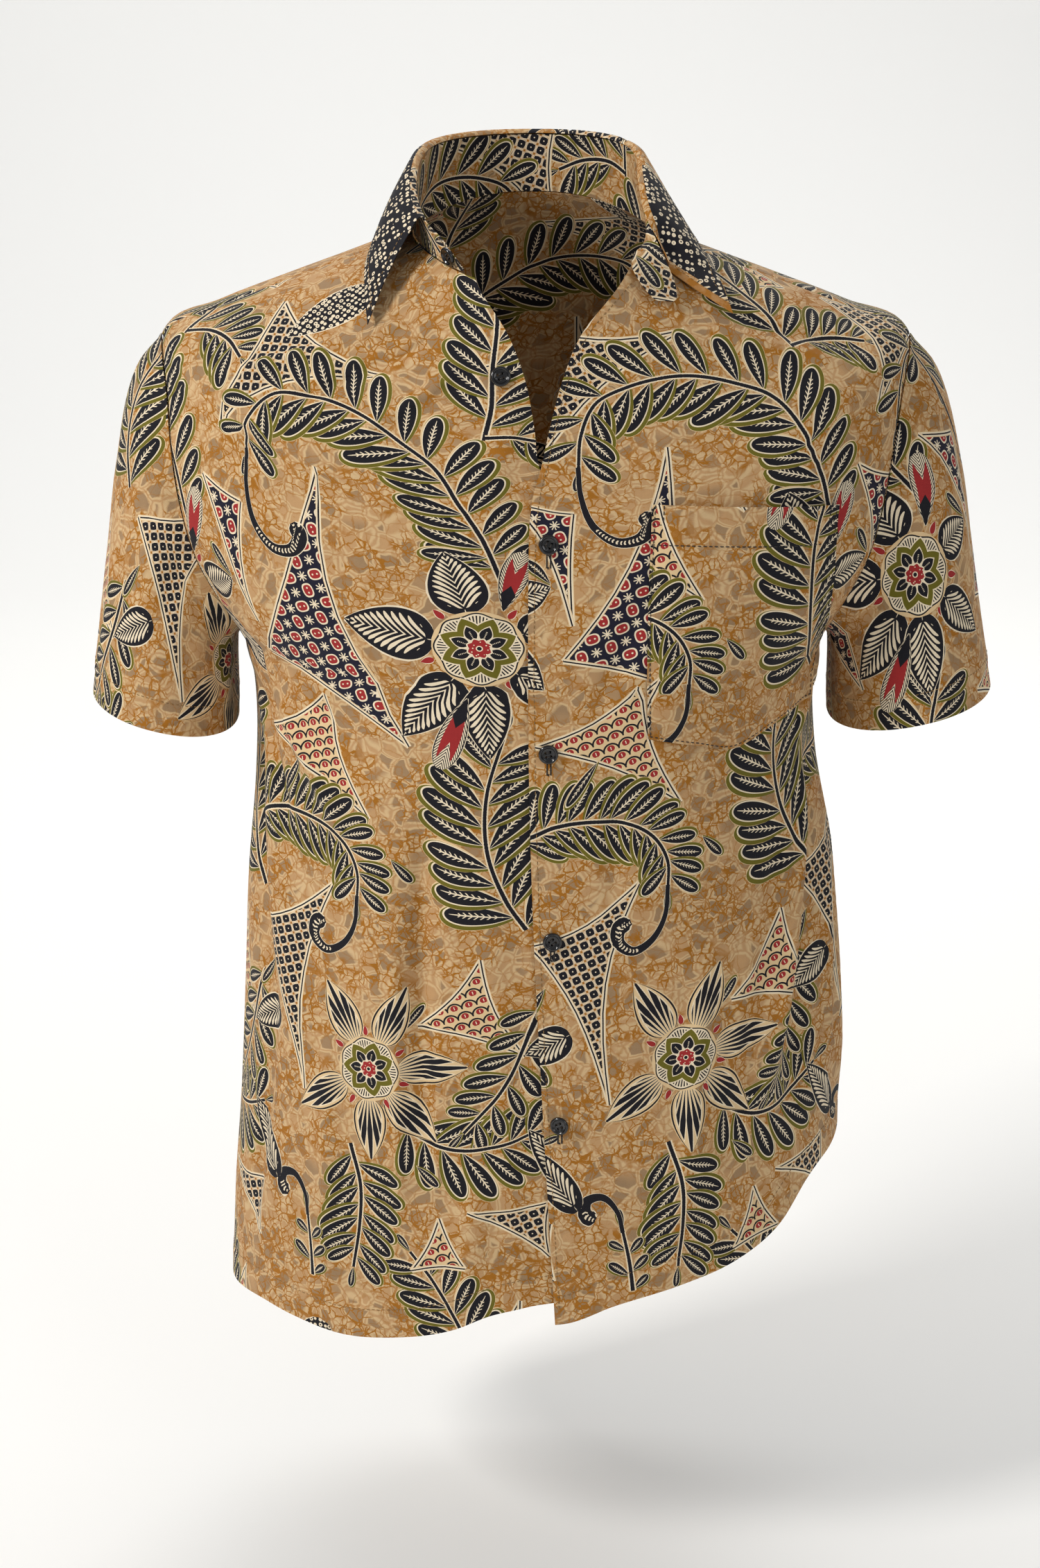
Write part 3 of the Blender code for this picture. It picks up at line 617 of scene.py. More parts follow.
def pocket_surface():
    """Worn form of the chest pocket, by share across and by run from its top to its foot."""
    angles = np.linspace(4.0, 88.0, 85)
    levels = np.linspace(3.5, 7.35, 120)
    flat = plain_body(*np.meshgrid(angles, levels))[..., [0, 2]]
    back_to = place_on(flat, angles, levels)

    def surface(across, run):
        inner_x = read(POCKET, POCKET_COLUMNS, "run", "inner_x", run)
        outer_x = read(POCKET, POCKET_COLUMNS, "run", "outer_x", run)
        top = read(POCKET_TOP, POCKET_TOP_COLUMNS, "across", "z", across)
        foot = read(POCKET_FOOT, POCKET_FOOT_COLUMNS, "across", "z", across)
        x = inner_x + (outer_x - inner_x) * across
        angle, level = back_to(rows_of(x, top + (foot - top) * run).reshape(-1, 2))
        angle = angle.reshape(np.shape(across))
        level = level.reshape(np.shape(across))
        depth = run * POCKET_DEPTH
        rim = np.minimum(np.minimum(across, 1.0 - across) * POCKET_WIDTH, POCKET_DEPTH - depth)
        out = 1.7 + 1.2 * ease(rim / 16.0) - 0.5 * np.exp(-((rim - 1.8) / 1.4) ** 2)
        out = out + 0.3 * ease((24.0 - depth) / 3.0) + 1.3 * ease((12.0 - depth) / 12.0)
        return body(angle, level, out)

    return surface


def place_on(flat, across, down):
    """Finds, for points of a flat grid, the two measures of the grid there."""
    rows, columns = flat.shape[:2]
    points = [Vector((p[0], p[1], 0.0)) for p in flat.reshape(-1, 2)]
    triangles = []
    for i in range(rows - 1):
        for j in range(columns - 1):
            a = i * columns + j
            triangles.append((a, a + 1, a + columns + 1))
            triangles.append((a, a + columns + 1, a + columns))
    tree = BVHTree.FromPolygons(points, triangles)
    corners = np.array(triangles)
    plane = flat.reshape(-1, 2)
    measures = np.stack(np.meshgrid(across, down), axis=-1).reshape(-1, 2)

    def find(wanted):
        hit = np.array([tree.find_nearest(Vector((p[0], p[1], 0.0)))[2] for p in wanted])
        a, b, c = (plane[corners[hit, k]] for k in range(3))
        u, v, w = b - a, c - a, wanted - a
        det = u[:, 0] * v[:, 1] - u[:, 1] * v[:, 0]
        s = (w[:, 0] * v[:, 1] - w[:, 1] * v[:, 0]) / det
        t = (u[:, 0] * w[:, 1] - u[:, 1] * w[:, 0]) / det
        s = np.clip(s, -0.05, 1.05)[:, None]
        t = np.clip(t, -0.05, 1.05)[:, None]
        m = [measures[corners[hit, k]] for k in range(3)]
        found = m[0] + (m[1] - m[0]) * s + (m[2] - m[0]) * t
        return found[:, 0], found[:, 1]

    return find


def flatten(worn, from_foot):
    """Lays a worn grid of points flat, keeping its lengths, as the cutter's pattern had them.

    The points start in straight rows, or where the rows slope much, with each column measured from the foot.
    """
    rows, columns = worn.shape[:2]
    middle = columns // 2
    across = np.zeros((rows, columns))
    across[:, 1:] = np.cumsum(np.linalg.norm(np.diff(worn, axis=1), axis=2), axis=1)
    across = across - across[:, middle:middle + 1]
    steps = np.linalg.norm(np.diff(worn, axis=0), axis=2)
    if from_foot:
        up = np.vstack((np.cumsum(steps[::-1], axis=0)[::-1], np.zeros((1, columns))))
    else:
        up = np.broadcast_to(-np.append(0.0, np.cumsum(steps[:, middle]))[:, None], across.shape)
    flat = np.stack((across, up), axis=-1)
    rounds = ROUNDS_FROM_FOOT if from_foot else ROUNDS
    pairs = (((slice(None), slice(0, -1)), (slice(None), slice(1, None))),
             ((slice(0, -1), slice(None)), (slice(1, None), slice(None))),
             ((slice(0, -1), slice(0, -1)), (slice(1, None), slice(1, None))),
             ((slice(0, -1), slice(1, None)), (slice(1, None), slice(0, -1))))
    rest = [np.linalg.norm(worn[b] - worn[a], axis=-1) for a, b in pairs]
    count = np.zeros((rows, columns, 1))
    for a, b in pairs:
        count[a] += 1.0
        count[b] += 1.0
    for _ in range(rounds):
        move = np.zeros_like(flat)
        for (a, b), length in zip(pairs, rest):
            step = flat[b] - flat[a]
            now = np.maximum(np.linalg.norm(step, axis=-1), 1e-6)
            pull = step * (0.5 * (now - length) / now)[..., None]
            move[a] += pull
            move[b] -= pull
        flat = flat + move / count * 1.6
    return flat


def line_up(flat, target, chosen):
    """Turns and shifts a flat piece so that its chosen points lie as near as they can to a target."""
    a = flat[chosen]
    b = target[chosen]
    a0, b0 = a.mean(axis=0), b.mean(axis=0)
    u, _, vt = np.linalg.svd((a - a0).T @ (b - b0))
    return (flat - a0) @ (u @ vt) + b0


# The print. Places are millimetres on the cloth: x to the right, z up, as seen on its face.
TILE_WIDTH = 202.0
TILE_HEIGHT = 690.0

# Sprays: stem from foot to tip, stretch with leaves, then leaf count, length and lean for right and left.
SPRAYS = (
    (((172, -165), (163, -135), (151, -109), (136, -82), (114, -68), (94, -60), (76, -58), (54, -61),
      (36, -69), (26, -89), (23, -113)), 0.02, 0.98, (15, 37.0, 52.0), (17, 42.0, 52.0)),
    (((157, -54), (154, -29), (146, -5), (137, 23), (124, 52), (112, 71)), 0.08, 0.95,
     (8, 36.0, 48.0), (8, 38.0, 48.0)),
    (((157, -52), (172, -48), (190, -50), (206, -57)), 0.25, 0.97, (4, 33.0, 50.0), (4, 28.0, 50.0)),
    (((-10, -352), (12, -341), (36, -338), (60, -342), (74, -352), (82, -368), (82, -385)), 0.06, 0.97,
     (12, 34.0, 50.0), (14, 33.0, 52.0)),
    (((186, -400), (173, -380), (161, -347), (160, -310), (170, -270)), 0.02, 0.97,
     (9, 44.0, 50.0), (10, 46.0, 52.0)),
    (((108, -528), (128, -544), (150, -550), (175, -547), (197, -539)), 0.12, 0.98,
     (7, 38.0, 52.0), (7, 37.0, 48.0)),
    (((76, -548), (82, -576), (80, -604), (74, -632)), 0.10, 0.98, (7, 34.0, 52.0), (7, 33.0, 52.0)),
    (((44, -642), (44, -622), (42, -600)), 0.02, 0.90, (3, 17.0, 50.0), (2, 17.0, 50.0)),
    (((196, -452), (186, -484), (172, -512), (150, -538)), 0.04, 0.97, (6, 30.0, 52.0), (6, 31.0, 52.0)),
)

# Curled ends: stem from thin to thick.
CURLS = (
    ((23, -110), (24, -131), (30, -151), (43, -163), (56, -162), (62, -153), (57, -145)),
    ((82, -383), (80, -402), (72, -416), (60, -422), (51, -415), (52, -406), (59, -403)),
    ((42, -602), (40, -588), (32, -577), (22, -578), (20, -587), (26, -591)),
)

# Filled triangles with hollow sides: three corners, how far the sides draw in, and the filling.
TRIANGLES = (
    ((96, -30), (2, -14), (2, -104), 0.10, "kawung"),
    ((72, -102), (17, -238), (116, -281), 0.08, "navy_ovals"),
    ((63, -256), (2, -291), (90, -332), 0.07, "scales"),
    ((-12, -134), (20, -143), (21, -216), 0.05, "navy_ovals"),
    ((134, -8), (178, 34), (182, -4), 0.08, "scales"),
    ((66, -377), (-2, -414), (41, -518), 0.09, "kawung"),
    ((160, -420), (122, -467), (188, -487), 0.07, "scales"),
    ((150, -592), (200, -590), (198, -628), 0.06, "kawung"),
    ((112, -632), (132, -596), (146, -630), 0.05, "scales"),
)

# Flowers: centre, radius of the ring, then each petal's direction, length and width.
FLOWERS = (
    ((158, -212), 25.0, "large_flower", "comb_petal",
     ((103, 45, 34), (170, 50, 38), (234, 53, 32), (273, 50, 29), (319, 43, 26), (22, 32, 26))),
    ((90, -496), 20.5, "small_flower", "line_petal",
     ((119, 42, 25), (66, 42, 24), (3, 44, 24), (312, 45, 25), (270, 42, 24), (212, 42, 24))),
)

# Single motifs: foot, tip, width and kind.
SINGLES = (
    ((172, -186), (184, -143), 17, "bud"), ((150, -246), (133, -294), 17, "bud"),
    ((166, -148), (128, -147), 13, "leaf"), ((-14, -486), (20, -470), 24, "comb_petal"),
    ((-12, -538), (16, -584), 22, "comb_petal"), ((24, -34), (50, 18), 28, "seedhead"),
    ((120, -560), (134, -575), 8, "leaf"), ((112, -470), (126, -452), 7, "leaf"),
    ((40, -300), (20, -330), 8, "leaf"), ((104, -356), (118, -372), 8, "leaf"),
    ((8, -190), (-8, -172), 8, "leaf"), ((6, -440), (-8, -462), 8, "leaf"),
)


def curve_through(points, step=3.0):
    """Evenly spaced points on a smooth curve through a few places."""
    p = np.array(points, float)
    keys = np.append(0.0, np.cumsum(np.linalg.norm(np.diff(p, axis=0), axis=1)))
    count = max(int(keys[-1] / step), 2)
    t = np.linspace(0.0, keys[-1], count + 1)
    return np.stack((smooth(keys, p[:, 0], t), smooth(keys, p[:, 1], t)), axis=-1)


def blade(kind, foot, tip, width, hand=1.0):
    """Leaf or petal between two places; its drawing runs 0 to 1 from foot to tip."""
    foot = np.array(foot, float)
    step = np.array(tip, float) - foot
    length = np.linalg.norm(step)
    along = step / length
    side = np.array((-along[1], along[0])) * hand
    s = np.array((0.0, 0.06, 0.16, 0.3, 0.45, 0.6, 0.75, 0.87, 0.95, 0.99))
    half = 0.5 * width * 2.49 * s**0.9 * (1.0 - s) ** 0.5
    half[0] = 0.04 * width
    upper = [foot + along * a * length + side * h for a, h in zip(s, half)]
    lower = [foot + along * a * length - side * h for a, h in zip(s[::-1], half[::-1])]
    return {"kind": kind, "outline": np.array(upper + lower), "foot": foot, "along": along,
            "scale": length, "half_width": 0.5 * width, "path": None, "hand": hand}


def strip(kind, points, start, end):
    """Stem or drawn line along a curve, as wide as its two half widths say."""
    path = np.array(points, float)
    step = np.gradient(path, axis=0)
    side = unit(np.stack((-step[:, 1], step[:, 0]), axis=-1))
    t = np.linspace(0.0, 1.0, len(path))
    half = (start + (end - start) * t ** (2.4 if kind == "curl" else 1.0))[:, None]
    if kind == "curl":
        half = half * np.sqrt(1.0 - np.clip((t - 0.93) / 0.075, 0.0, 0.99) ** 2)[:, None]
    outline = np.concatenate((path + side * half, (path - side * half)[::-1]))
    return {"kind": kind, "outline": outline, "foot": path[0], "along": np.array((1.0, 0.0)),
            "scale": 1.0, "path": path, "half": half[:, 0], "hand": 1.0}


def disc(kind, centre, radius):
    """Round motif; its drawing is measured in radii from its centre."""
    turns = np.linspace(0.0, 2.0 * math.pi, 29)[:-1]
    outline = np.array(centre) + radius * np.stack((np.cos(turns), np.sin(turns)), axis=-1)
    return {"kind": kind, "outline": outline, "foot": np.array(centre, float),
            "along": np.array((1.0, 0.0)), "scale": radius, "path": None, "hand": 1.0}


def triangle(corners, draw_in, kind):
    """Filled triangle and the lines drawn round it."""
    middle = np.mean(corners, axis=0)
    sides = []
    for k in range(3):
        a = np.array(corners[k], float)
        b = np.array(corners[(k + 1) % 3], float)
        t = np.linspace(0.0, 1.0, 9)[:, None]
        straight = a + (b - a) * t
        inward = unit(middle - 0.5 * (a + b)) * np.linalg.norm(b - a) * draw_in
        sides.append(straight + inward * np.sin(math.pi * t))
    outline = np.concatenate([side[:-1] for side in sides])
    filling = {"kind": kind, "outline": outline, "foot": middle, "along": np.array((0.94, 0.34)),
               "scale": 1.0, "path": None, "hand": 1.0}
    return [filling] + [strip("drawn_line", side, 1.7, 1.7) for side in sides]


def spray_motifs(points, first, last, right, left):
    """Stem with leaves in two rows, each leaf leaning towards the tip."""
    path = curve_through(points)
    step = np.gradient(path, axis=0)
    found = []
    for hand, (count, length, lean) in ((-1.0, right), (1.0, left)):
        for k in range(count):
            share = (k + (0.5 if hand > 0 else 0.0)) / count
            where = first + (last - first) * share
            at = where * (len(path) - 1)
            i = int(at)
            foot = path[i]
            along = step[i] / np.linalg.norm(step[i])
            size = length * (0.74 + 0.30 * math.sin(math.pi * min(share * 0.9 + 0.22, 1.0)))
            size *= 1.0 + 0.07 * math.sin(7.3 * k + 2.0 * hand)
            a = math.radians(lean + 5.0 * math.sin(3.1 * k)) * hand
            way = np.array((along[0] * math.cos(a) - along[1] * math.sin(a),
                            along[0] * math.sin(a) + along[1] * math.cos(a)))
            tip = foot + way * size
            found.append(blade("leaf", foot + way * 1.0, tip, size * 0.34 + 2.4, hand))
    found.append(blade("leaf", path[-1], path[-1] + step[-1] / np.linalg.norm(step[-1]) * 15.0, 6.0))
    return [strip("stem", path, 2.3, 1.6)], found


def tile_motifs():
    """All motifs of one repeat of the print, lowest first."""
    below, stems, leaves, above = [], [], [], []
    for corners in TRIANGLES:
        below += triangle(corners[:3], corners[3], corners[4])
    for row in SPRAYS:
        stem, blades = spray_motifs(*row)
        stems += stem
        leaves += blades
    for points in CURLS:
        stems.append(strip("curl", curve_through(points, 1.5), 1.5, 6.4))
    for centre, radius, kind, petal_kind, petals in FLOWERS:
        for direction, length, width in petals:
            a = math.radians(direction)
            way = np.array((math.cos(a), math.sin(a)))
            foot = np.array(centre) + way * (radius - 1.0)
            above.append(blade(petal_kind, foot + way * length, foot, width, 1.0))
            b = a + math.radians(29.0)
            way = np.array((math.cos(b), math.sin(b)))
            foot = np.array(centre) + way * (radius + 1.5)
            above.append(blade("red_drop", foot + way * 8.0 * radius / 25.0, foot, 5.0 * radius / 25.0, 1.0))
        above.append(disc(kind, centre, radius + 0.8))
    for foot, tip, width, kind in SINGLES:
        layer = {"leaf": leaves, "seedhead": below}.get(kind, above)
        layer.append(blade(kind, foot, tip, width))
    return below + leaves + stems + above


def border_of(flat):
    """Edge of a flat grid, once round."""
    return np.concatenate((flat[0, :-1], flat[:-1, -1], flat[-1, :0:-1], flat[:0:-1, 0]))


def turned_left(loop):
    """A closed loop, in the order that runs anticlockwise."""
    after = np.roll(loop, -1, axis=0)
    turned = (loop[:, 0] * after[:, 1] - loop[:, 1] * after[:, 0]).sum() < 0.0
    return loop[::-1] if turned else loop


def finer(loop, pitch):
    """A closed loop's points, with more of them between those far apart."""
    found = []
    for a, b in zip(loop, np.roll(loop, -1, axis=0)):
        count = max(int(math.ceil(np.linalg.norm(b - a) / pitch)), 1)
        found += [a + (b - a) * k / count for k in range(count)]
    return np.array(found)


def offset_rows(line, inward, distances):
    """Rows of points beside an edge, at the distances given."""
    step = unit(np.gradient(line, axis=0))
    side = np.stack((-step[:, 1], step[:, 0]), axis=-1)
    side = np.where(((inward - line) * side).sum(axis=1, keepdims=True) < 0.0, -side, side)
    return [line + side * d for d in distances]


def resample(line, pitch):
    """A line's points at an even pitch."""
    keys = np.append(0.0, np.cumsum(np.linalg.norm(np.diff(line, axis=0), axis=1)))
    t = np.linspace(0.0, keys[-1], max(int(round(keys[-1] / pitch)), 2) + 1)
    return np.stack([np.interp(t, keys, line[:, i]) for i in range(2)], axis=-1)


def printed_on(flat, shift):
    """Motifs of the repeating print that fall on a flat piece."""
    low = flat.reshape(-1, 2).min(axis=0) + shift
    high = flat.reshape(-1, 2).max(axis=0) + shift
    found = []
    for row in range(-3, 4):
        for column in range(-4, 5):
            move = np.array((column * TILE_WIDTH, row * TILE_HEIGHT))
            for m in TILE:
                a = m["outline"].min(axis=0) + move
                b = m["outline"].max(axis=0) + move
                if (a < high).all() and (b > low).all():
                    found.append((m, move - shift))
    return found


def drawn_at(m, place):
    """Where points lie in a motif's own frame, for its drawing."""
    if m["path"] is None:
        rel = place - m["foot"]
        side = np.array((-m["along"][1], m["along"][0])) * m["hand"]
        across = m.get("half_width", m["scale"])
        return np.stack((rel @ m["along"] / m["scale"], rel @ side / across), axis=-1)
    path = m["path"]
    a, b = path[:-1], path[1:]
    step = b - a
    length = np.linalg.norm(step, axis=1)
    start = np.append(0.0, np.cumsum(length))
    rel = place[:, None, :] - a[None]
    t = np.clip((rel * step).sum(axis=-1) / length**2, 0.0, 1.0)
    gap = rel - step * t[..., None]
    best = np.argmin((gap**2).sum(axis=-1), axis=1)
    k = np.arange(len(place))
    turn = step[best, 0] * rel[k, best, 1] - step[best, 1] * rel[k, best, 0]
    away = np.copysign(np.linalg.norm(gap[k, best], axis=1), turn)
    half = np.interp(best + t[k, best], np.arange(len(path)), m["half"])
    return np.stack((start[best] + t[k, best] * length[best], away / half), axis=-1)


def held_to(extent, across, down):
    """A piece's two measures, kept within its edges."""
    return np.clip(across, extent[0], extent[1]), np.clip(down, extent[2], extent[3])


def square_to(surface, extent, across, down):
    """Direction square to a worn surface, at places given by its two measures."""
    step_a = (extent[1] - extent[0]) * SLOPE_STEP
    step_d = (extent[3] - extent[2]) * SLOPE_STEP
    before, _ = held_to(extent, across - step_a, down)
    after, _ = held_to(extent, across + step_a, down)
    _, above = held_to(extent, across, down - step_d)
    _, below = held_to(extent, across, down + step_d)
    along = surface(after, down) - surface(before, down)
    return unit(np.cross(along, surface(across, below) - surface(across, above)))


def patches_on(flat, across, down, patches):
    """Parts of a flat piece that carry a filling of their own, given by its two measures."""
    found = []
    for kind, first, last, top, foot in patches:
        columns = np.nonzero((across >= first) & (across <= last))[0]
        rows = np.nonzero((down >= top) & (down <= foot))[0]
        part = border_of(flat[rows[0]:rows[-1] + 1, columns[0]:columns[-1] + 1])
        motif = {"kind": kind, "outline": part, "foot": part.mean(axis=0), "along": np.array((1.0, 0.0)),
                 "scale": 1.0, "path": None, "hand": 1.0}
        found.append((motif, np.zeros(2)))
    return found


def extra_points(outline, edges, inside, hems, spacing):
    """Points inside a flat piece: an even filling, and rows beside its edges and along its hems."""
    low, high = outline.min(axis=0), outline.max(axis=0)
    xs = np.arange(low[0], high[0], spacing)
    zs = np.arange(low[1], high[1], spacing * 0.92)
    filling = np.stack(np.meshgrid(xs, zs), axis=-1)
    filling[1::2, :, 0] += 0.5 * spacing
    rows = offset_rows(np.vstack((outline, outline[:1])), inside, (1.3, 3.4))
    for side, width in hems:
        rows += offset_rows(resample(edges[side], 2.4), inside,
                            (width - 4.0, width - 2.0, width - 1.0, width, width + 1.4, width + 4.0))
    return [filling.reshape(-1, 2)] + rows


def triangulated(outline, motifs, extra):
    """Triangles of a flat piece, cut along its motifs, and the number of the motif that each one shows."""
    points = [outline]
    loops = [list(range(len(outline)))]
    total = len(outline)
    for m, move in motifs:
        shape = turned_left(m["outline"] + move)
        points.append(shape)
        loops.append(list(range(total, total + len(shape))))
        total += len(shape)
    found = delaunay_2d_cdt([Vector(p) for p in np.concatenate(points + extra)], [], loops, 1, 1e-4)
    place = np.array([tuple(p) for p in found[0]])
    corners, kinds = [], []
    for face, owners in zip(found[2], found[5]):
        if 0 in owners:
            corners.append(face)
            kinds.append(max(owners) - 1)
    corners = np.array(corners)
    a, b, c = (place[corners[:, k]] for k in range(3))
    double = (b - a)[:, 0] * (c - a)[:, 1] - (b - a)[:, 1] * (c - a)[:, 0]
    corners[double < 0.0] = corners[double < 0.0][:, ::-1]
    used, corners = np.unique(corners, return_inverse=True)
    return place[used], corners.reshape(-1, 3), np.array(kinds), 0.5 * np.abs(double).sum()


# What each cloth piece's pattern and worn form are, by name.
FLAT = {}


def cloth_piece(name, surface, across, down, facing, chosen, shift, from_foot, hems, spacing, patches):
    """Cuts one cloth piece flat, lays the print on it and brings it to its worn form."""
    extent = (across[0], across[-1], down[0], down[-1])
    worn = surface(*np.meshgrid(across, down))
    flat = line_up(flatten(worn, from_foot), facing(worn), chosen(worn))
    back_to = place_on(flat, across, down)
    shift = np.array(shift, float)
    outline = turned_left(finer(border_of(flat), 3.5))
    inside = flat.reshape(-1, 2).mean(axis=0)
    edges = {"top": flat[0], "foot": flat[-1], "first": flat[:, 0], "last": flat[:, -1]}
    motifs = printed_on(flat, shift) + patches_on(flat, across, down, patches)
    extra = extra_points(outline, edges, inside, hems, spacing)
    place, corners, kinds, area = triangulated(outline, motifs, extra)

    m_across, m_down = held_to(extent, *back_to(place))
    p = surface(m_across, m_down)
    n = square_to(surface, extent, m_across, m_down)
    facings = (np.cross(p[corners[:, 1]] - p[corners[:, 0]], p[corners[:, 2]] - p[corners[:, 0]])
               * n[corners[:, 0]]).sum(axis=1)
    sign = -1.0 if facings.sum() < 0.0 else 1.0
    n = n * sign
    # A few slivers in sharp creases come out facing inward; they are turned to face as the cloth does.
    turned = facings * sign < 0.0
    corners[turned] = corners[turned][:, ::-1]
    FLAT[name] = {"sign": sign, "back_to": back_to, "surface": surface, "edges": edges, "inside": inside,
                  "worn": worn, "across": across, "down": down, "extent": extent,
                  "size": outline.max(axis=0) - outline.min(axis=0), "area": area}

    drawing = np.zeros((len(corners), 3, 2))
    shown = np.unique(kinds[kinds >= 0])
    for k in shown:
        m, move = motifs[k]
        chosen_faces = np.nonzero(kinds == k)[0]
        at = place[corners[chosen_faces]].reshape(-1, 2) - move
        drawing[chosen_faces] = drawn_at(m, at).reshape(-1, 3, 2)
    names = ["ground"] + sorted({motifs[k][0]["kind"] for k in shown})
    slots = np.array([0 if k < 0 else names.index(motifs[k][0]["kind"]) for k in kinds])
    return walled(name, p, n, corners, slots, names, place + shift, drawing)


def on_garment(name, mesh):
    """Object of a finished mesh, on the garment's one body."""
    obj = bpy.data.objects.new(name, mesh)
    bpy.context.scene.collection.objects.link(obj)
    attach(obj, "root")
    return obj


def walled(name, p, n, corners, slots, names, printed, drawing):
    """Mesh of a cloth piece: its face, its back a cloth's thickness behind, and its cut edges."""
    count = len(p)
    # An edge that only one triangle uses is a cut edge.
    sides = {}
    for i, (a, b, c) in enumerate(corners):
        for k, (u, v) in enumerate(((a, b), (b, c), (c, a))):
            sides.setdefault((min(u, v), max(u, v)), []).append((u, v, i, k))
    rim = [found[0] for found in sides.values() if len(found) == 1]
    vertices = np.concatenate((p, p - n * CLOTH))
    polygons = corners.tolist() + (corners[:, ::-1] + count).tolist()
    polygons += [[v, u, u + count, v + count] for u, v, i, k in rim]
    mesh = bpy.data.meshes.new(name)
    mesh.from_pydata((vertices * MM).tolist(), [], polygons)
    normals = [n[corners].reshape(-1, 3), -n[corners[:, ::-1]].reshape(-1, 3)]
    print_uv = [printed[corners].reshape(-1, 2), printed[corners[:, ::-1]].reshape(-1, 2)]
    motif_uv = [drawing.reshape(-1, 2), drawing[:, ::-1].reshape(-1, 2)]
    indices = [slots, slots]
    if rim:
        u, v, i, k = (np.array(x) for x in zip(*rim))
        ends = np.stack((v, u, u, v), axis=-1)
        wall = np.cross(p[u] - p[v], -n[u])
        normals.append(np.repeat(unit(wall), 4, axis=0))
        print_uv.append(printed[ends].reshape(-1, 2))
        after = (k + 1) % 3
        ends = (drawing[i, after], drawing[i, k], drawing[i, k], drawing[i, after])
        motif_uv.append(np.stack(ends, axis=1).reshape(-1, 2))
        indices.append(slots[i])
    layer = mesh.uv_layers.new(name="print")
    layer.data.foreach_set("uv", (np.concatenate(print_uv) * MM).ravel())
    layer = mesh.uv_layers.new(name="motif")
    layer.data.foreach_set("uv", np.concatenate(motif_uv).ravel())
    mesh.polygons.foreach_set("material_index", np.concatenate(indices))
    mesh.polygons.foreach_set("use_smooth", np.ones(len(polygons), bool))
    for kind in names:
        mesh.materials.append(CLOTH_MATERIALS[kind])
    mesh.normals_split_custom_set(np.concatenate(normals).tolist())
    obj = on_garment(name, mesh)
    return obj


def linear(code):
    """sRGB hex value as linear colour."""
    parts = [int(code[i:i + 2], 16) / 255.0 for i in (1, 3, 5)]
    return tuple(c / 12.92 if c <= 0.04045 else ((c + 0.055) / 1.055) ** 2.4 for c in parts) + (1.0,)


def add_node(tree, kind, *inputs, **settings):
    """Adds a node with its settings, and links or sets its inputs in order."""
    kind, _, operation = kind.partition(".")
    node = tree.nodes.new("ShaderNode" + kind)
    if operation:
        node.operation = operation
    for name, value in settings.items():
        setattr(node, name, value)
    for i, value in enumerate(inputs):
        if isinstance(value, bpy.types.NodeSocket):
            tree.links.new(value, node.inputs[i])
        elif value is not None:
            node.inputs[i].default_value = value
    return node.outputs[0] if node.outputs else node


# Printed cotton: dyes on a plain-weave poplin, matt, with a faint crossing of threads.
BLACK_INK = linear("#17161c")
CREAM = linear("#ead9bb")
HALO = linear("#dfc193")
OLIVE = linear("#6a621b")
RED_INK = linear("#9c2a2a")
OCHRE = linear("#a1671a")
PEACH = linear("#bc9467")
TAUPE = linear("#8e7558")
PALE = linear("#d2b487")


def started(name):
    """New cloth material: its tree, its node maker, and the two measures of its drawing."""
    material = bpy.data.materials.new(name)
    material.use_nodes = True
    tree = material.node_tree
    tree.nodes.clear()
    node = partial(add_node, tree)
    uv = node("UVMap", uv_map="motif")
    parts = node("SeparateXYZ", uv).node.outputs
    return material, tree, node, parts[0], parts[1]


def finished(tree, node, colour):
    """Cotton surface over a colour: threads, slight unevenness of dye and soft small wrinkles."""
    place = node("UVMap", uv_map="print")
    # Threads are 0.3 mm apart on the real cloth; they are drawn 0.8 mm apart so that they show.
    weft = node("TexWave", place, 393.0, 2.0, 2.0, 0.0, 0.0, 0.0, bands_direction="X")
    warp = node("TexWave", place, 393.0, 2.0, 2.0, 0.0, 0.0, 0.0, bands_direction="Y")
    weave = node("Math.MULTIPLY", node("Math.ADD", weft.node.outputs[1], warp.node.outputs[1]), 0.00005)
    rumple = node("TexNoise", place, None, 34.0, 3.0, 0.5)
    height = node("Math.MULTIPLY_ADD", rumple, 0.0010, weave)
    uneven = node("TexNoise", place, None, 60.0, 4.0, 0.6)
    shade = node("MapRange", uneven, 0.3, 0.7, 0.93, 1.05)
    dyed = node("MixRGB", 1.0, colour, None, blend_type="MULTIPLY")
    grey = node("CombineXYZ", shade, shade, shade)
    tree.links.new(grey, dyed.node.inputs[2])
    bump = node("Bump", 0.8, 1.0, None)
    tree.links.new(height, bump.node.inputs["Height"])
    shader = node("BsdfPrincipled").node
    tree.links.new(dyed, shader.inputs["Base Color"])
    tree.links.new(bump, shader.inputs["Normal"])
    shader.inputs["Roughness"].default_value = 0.84
    shader.inputs["Specular IOR Level"].default_value = 0.22
    shader.inputs["Sheen Weight"].default_value = 0.05
    node("OutputMaterial", shader.outputs[0])


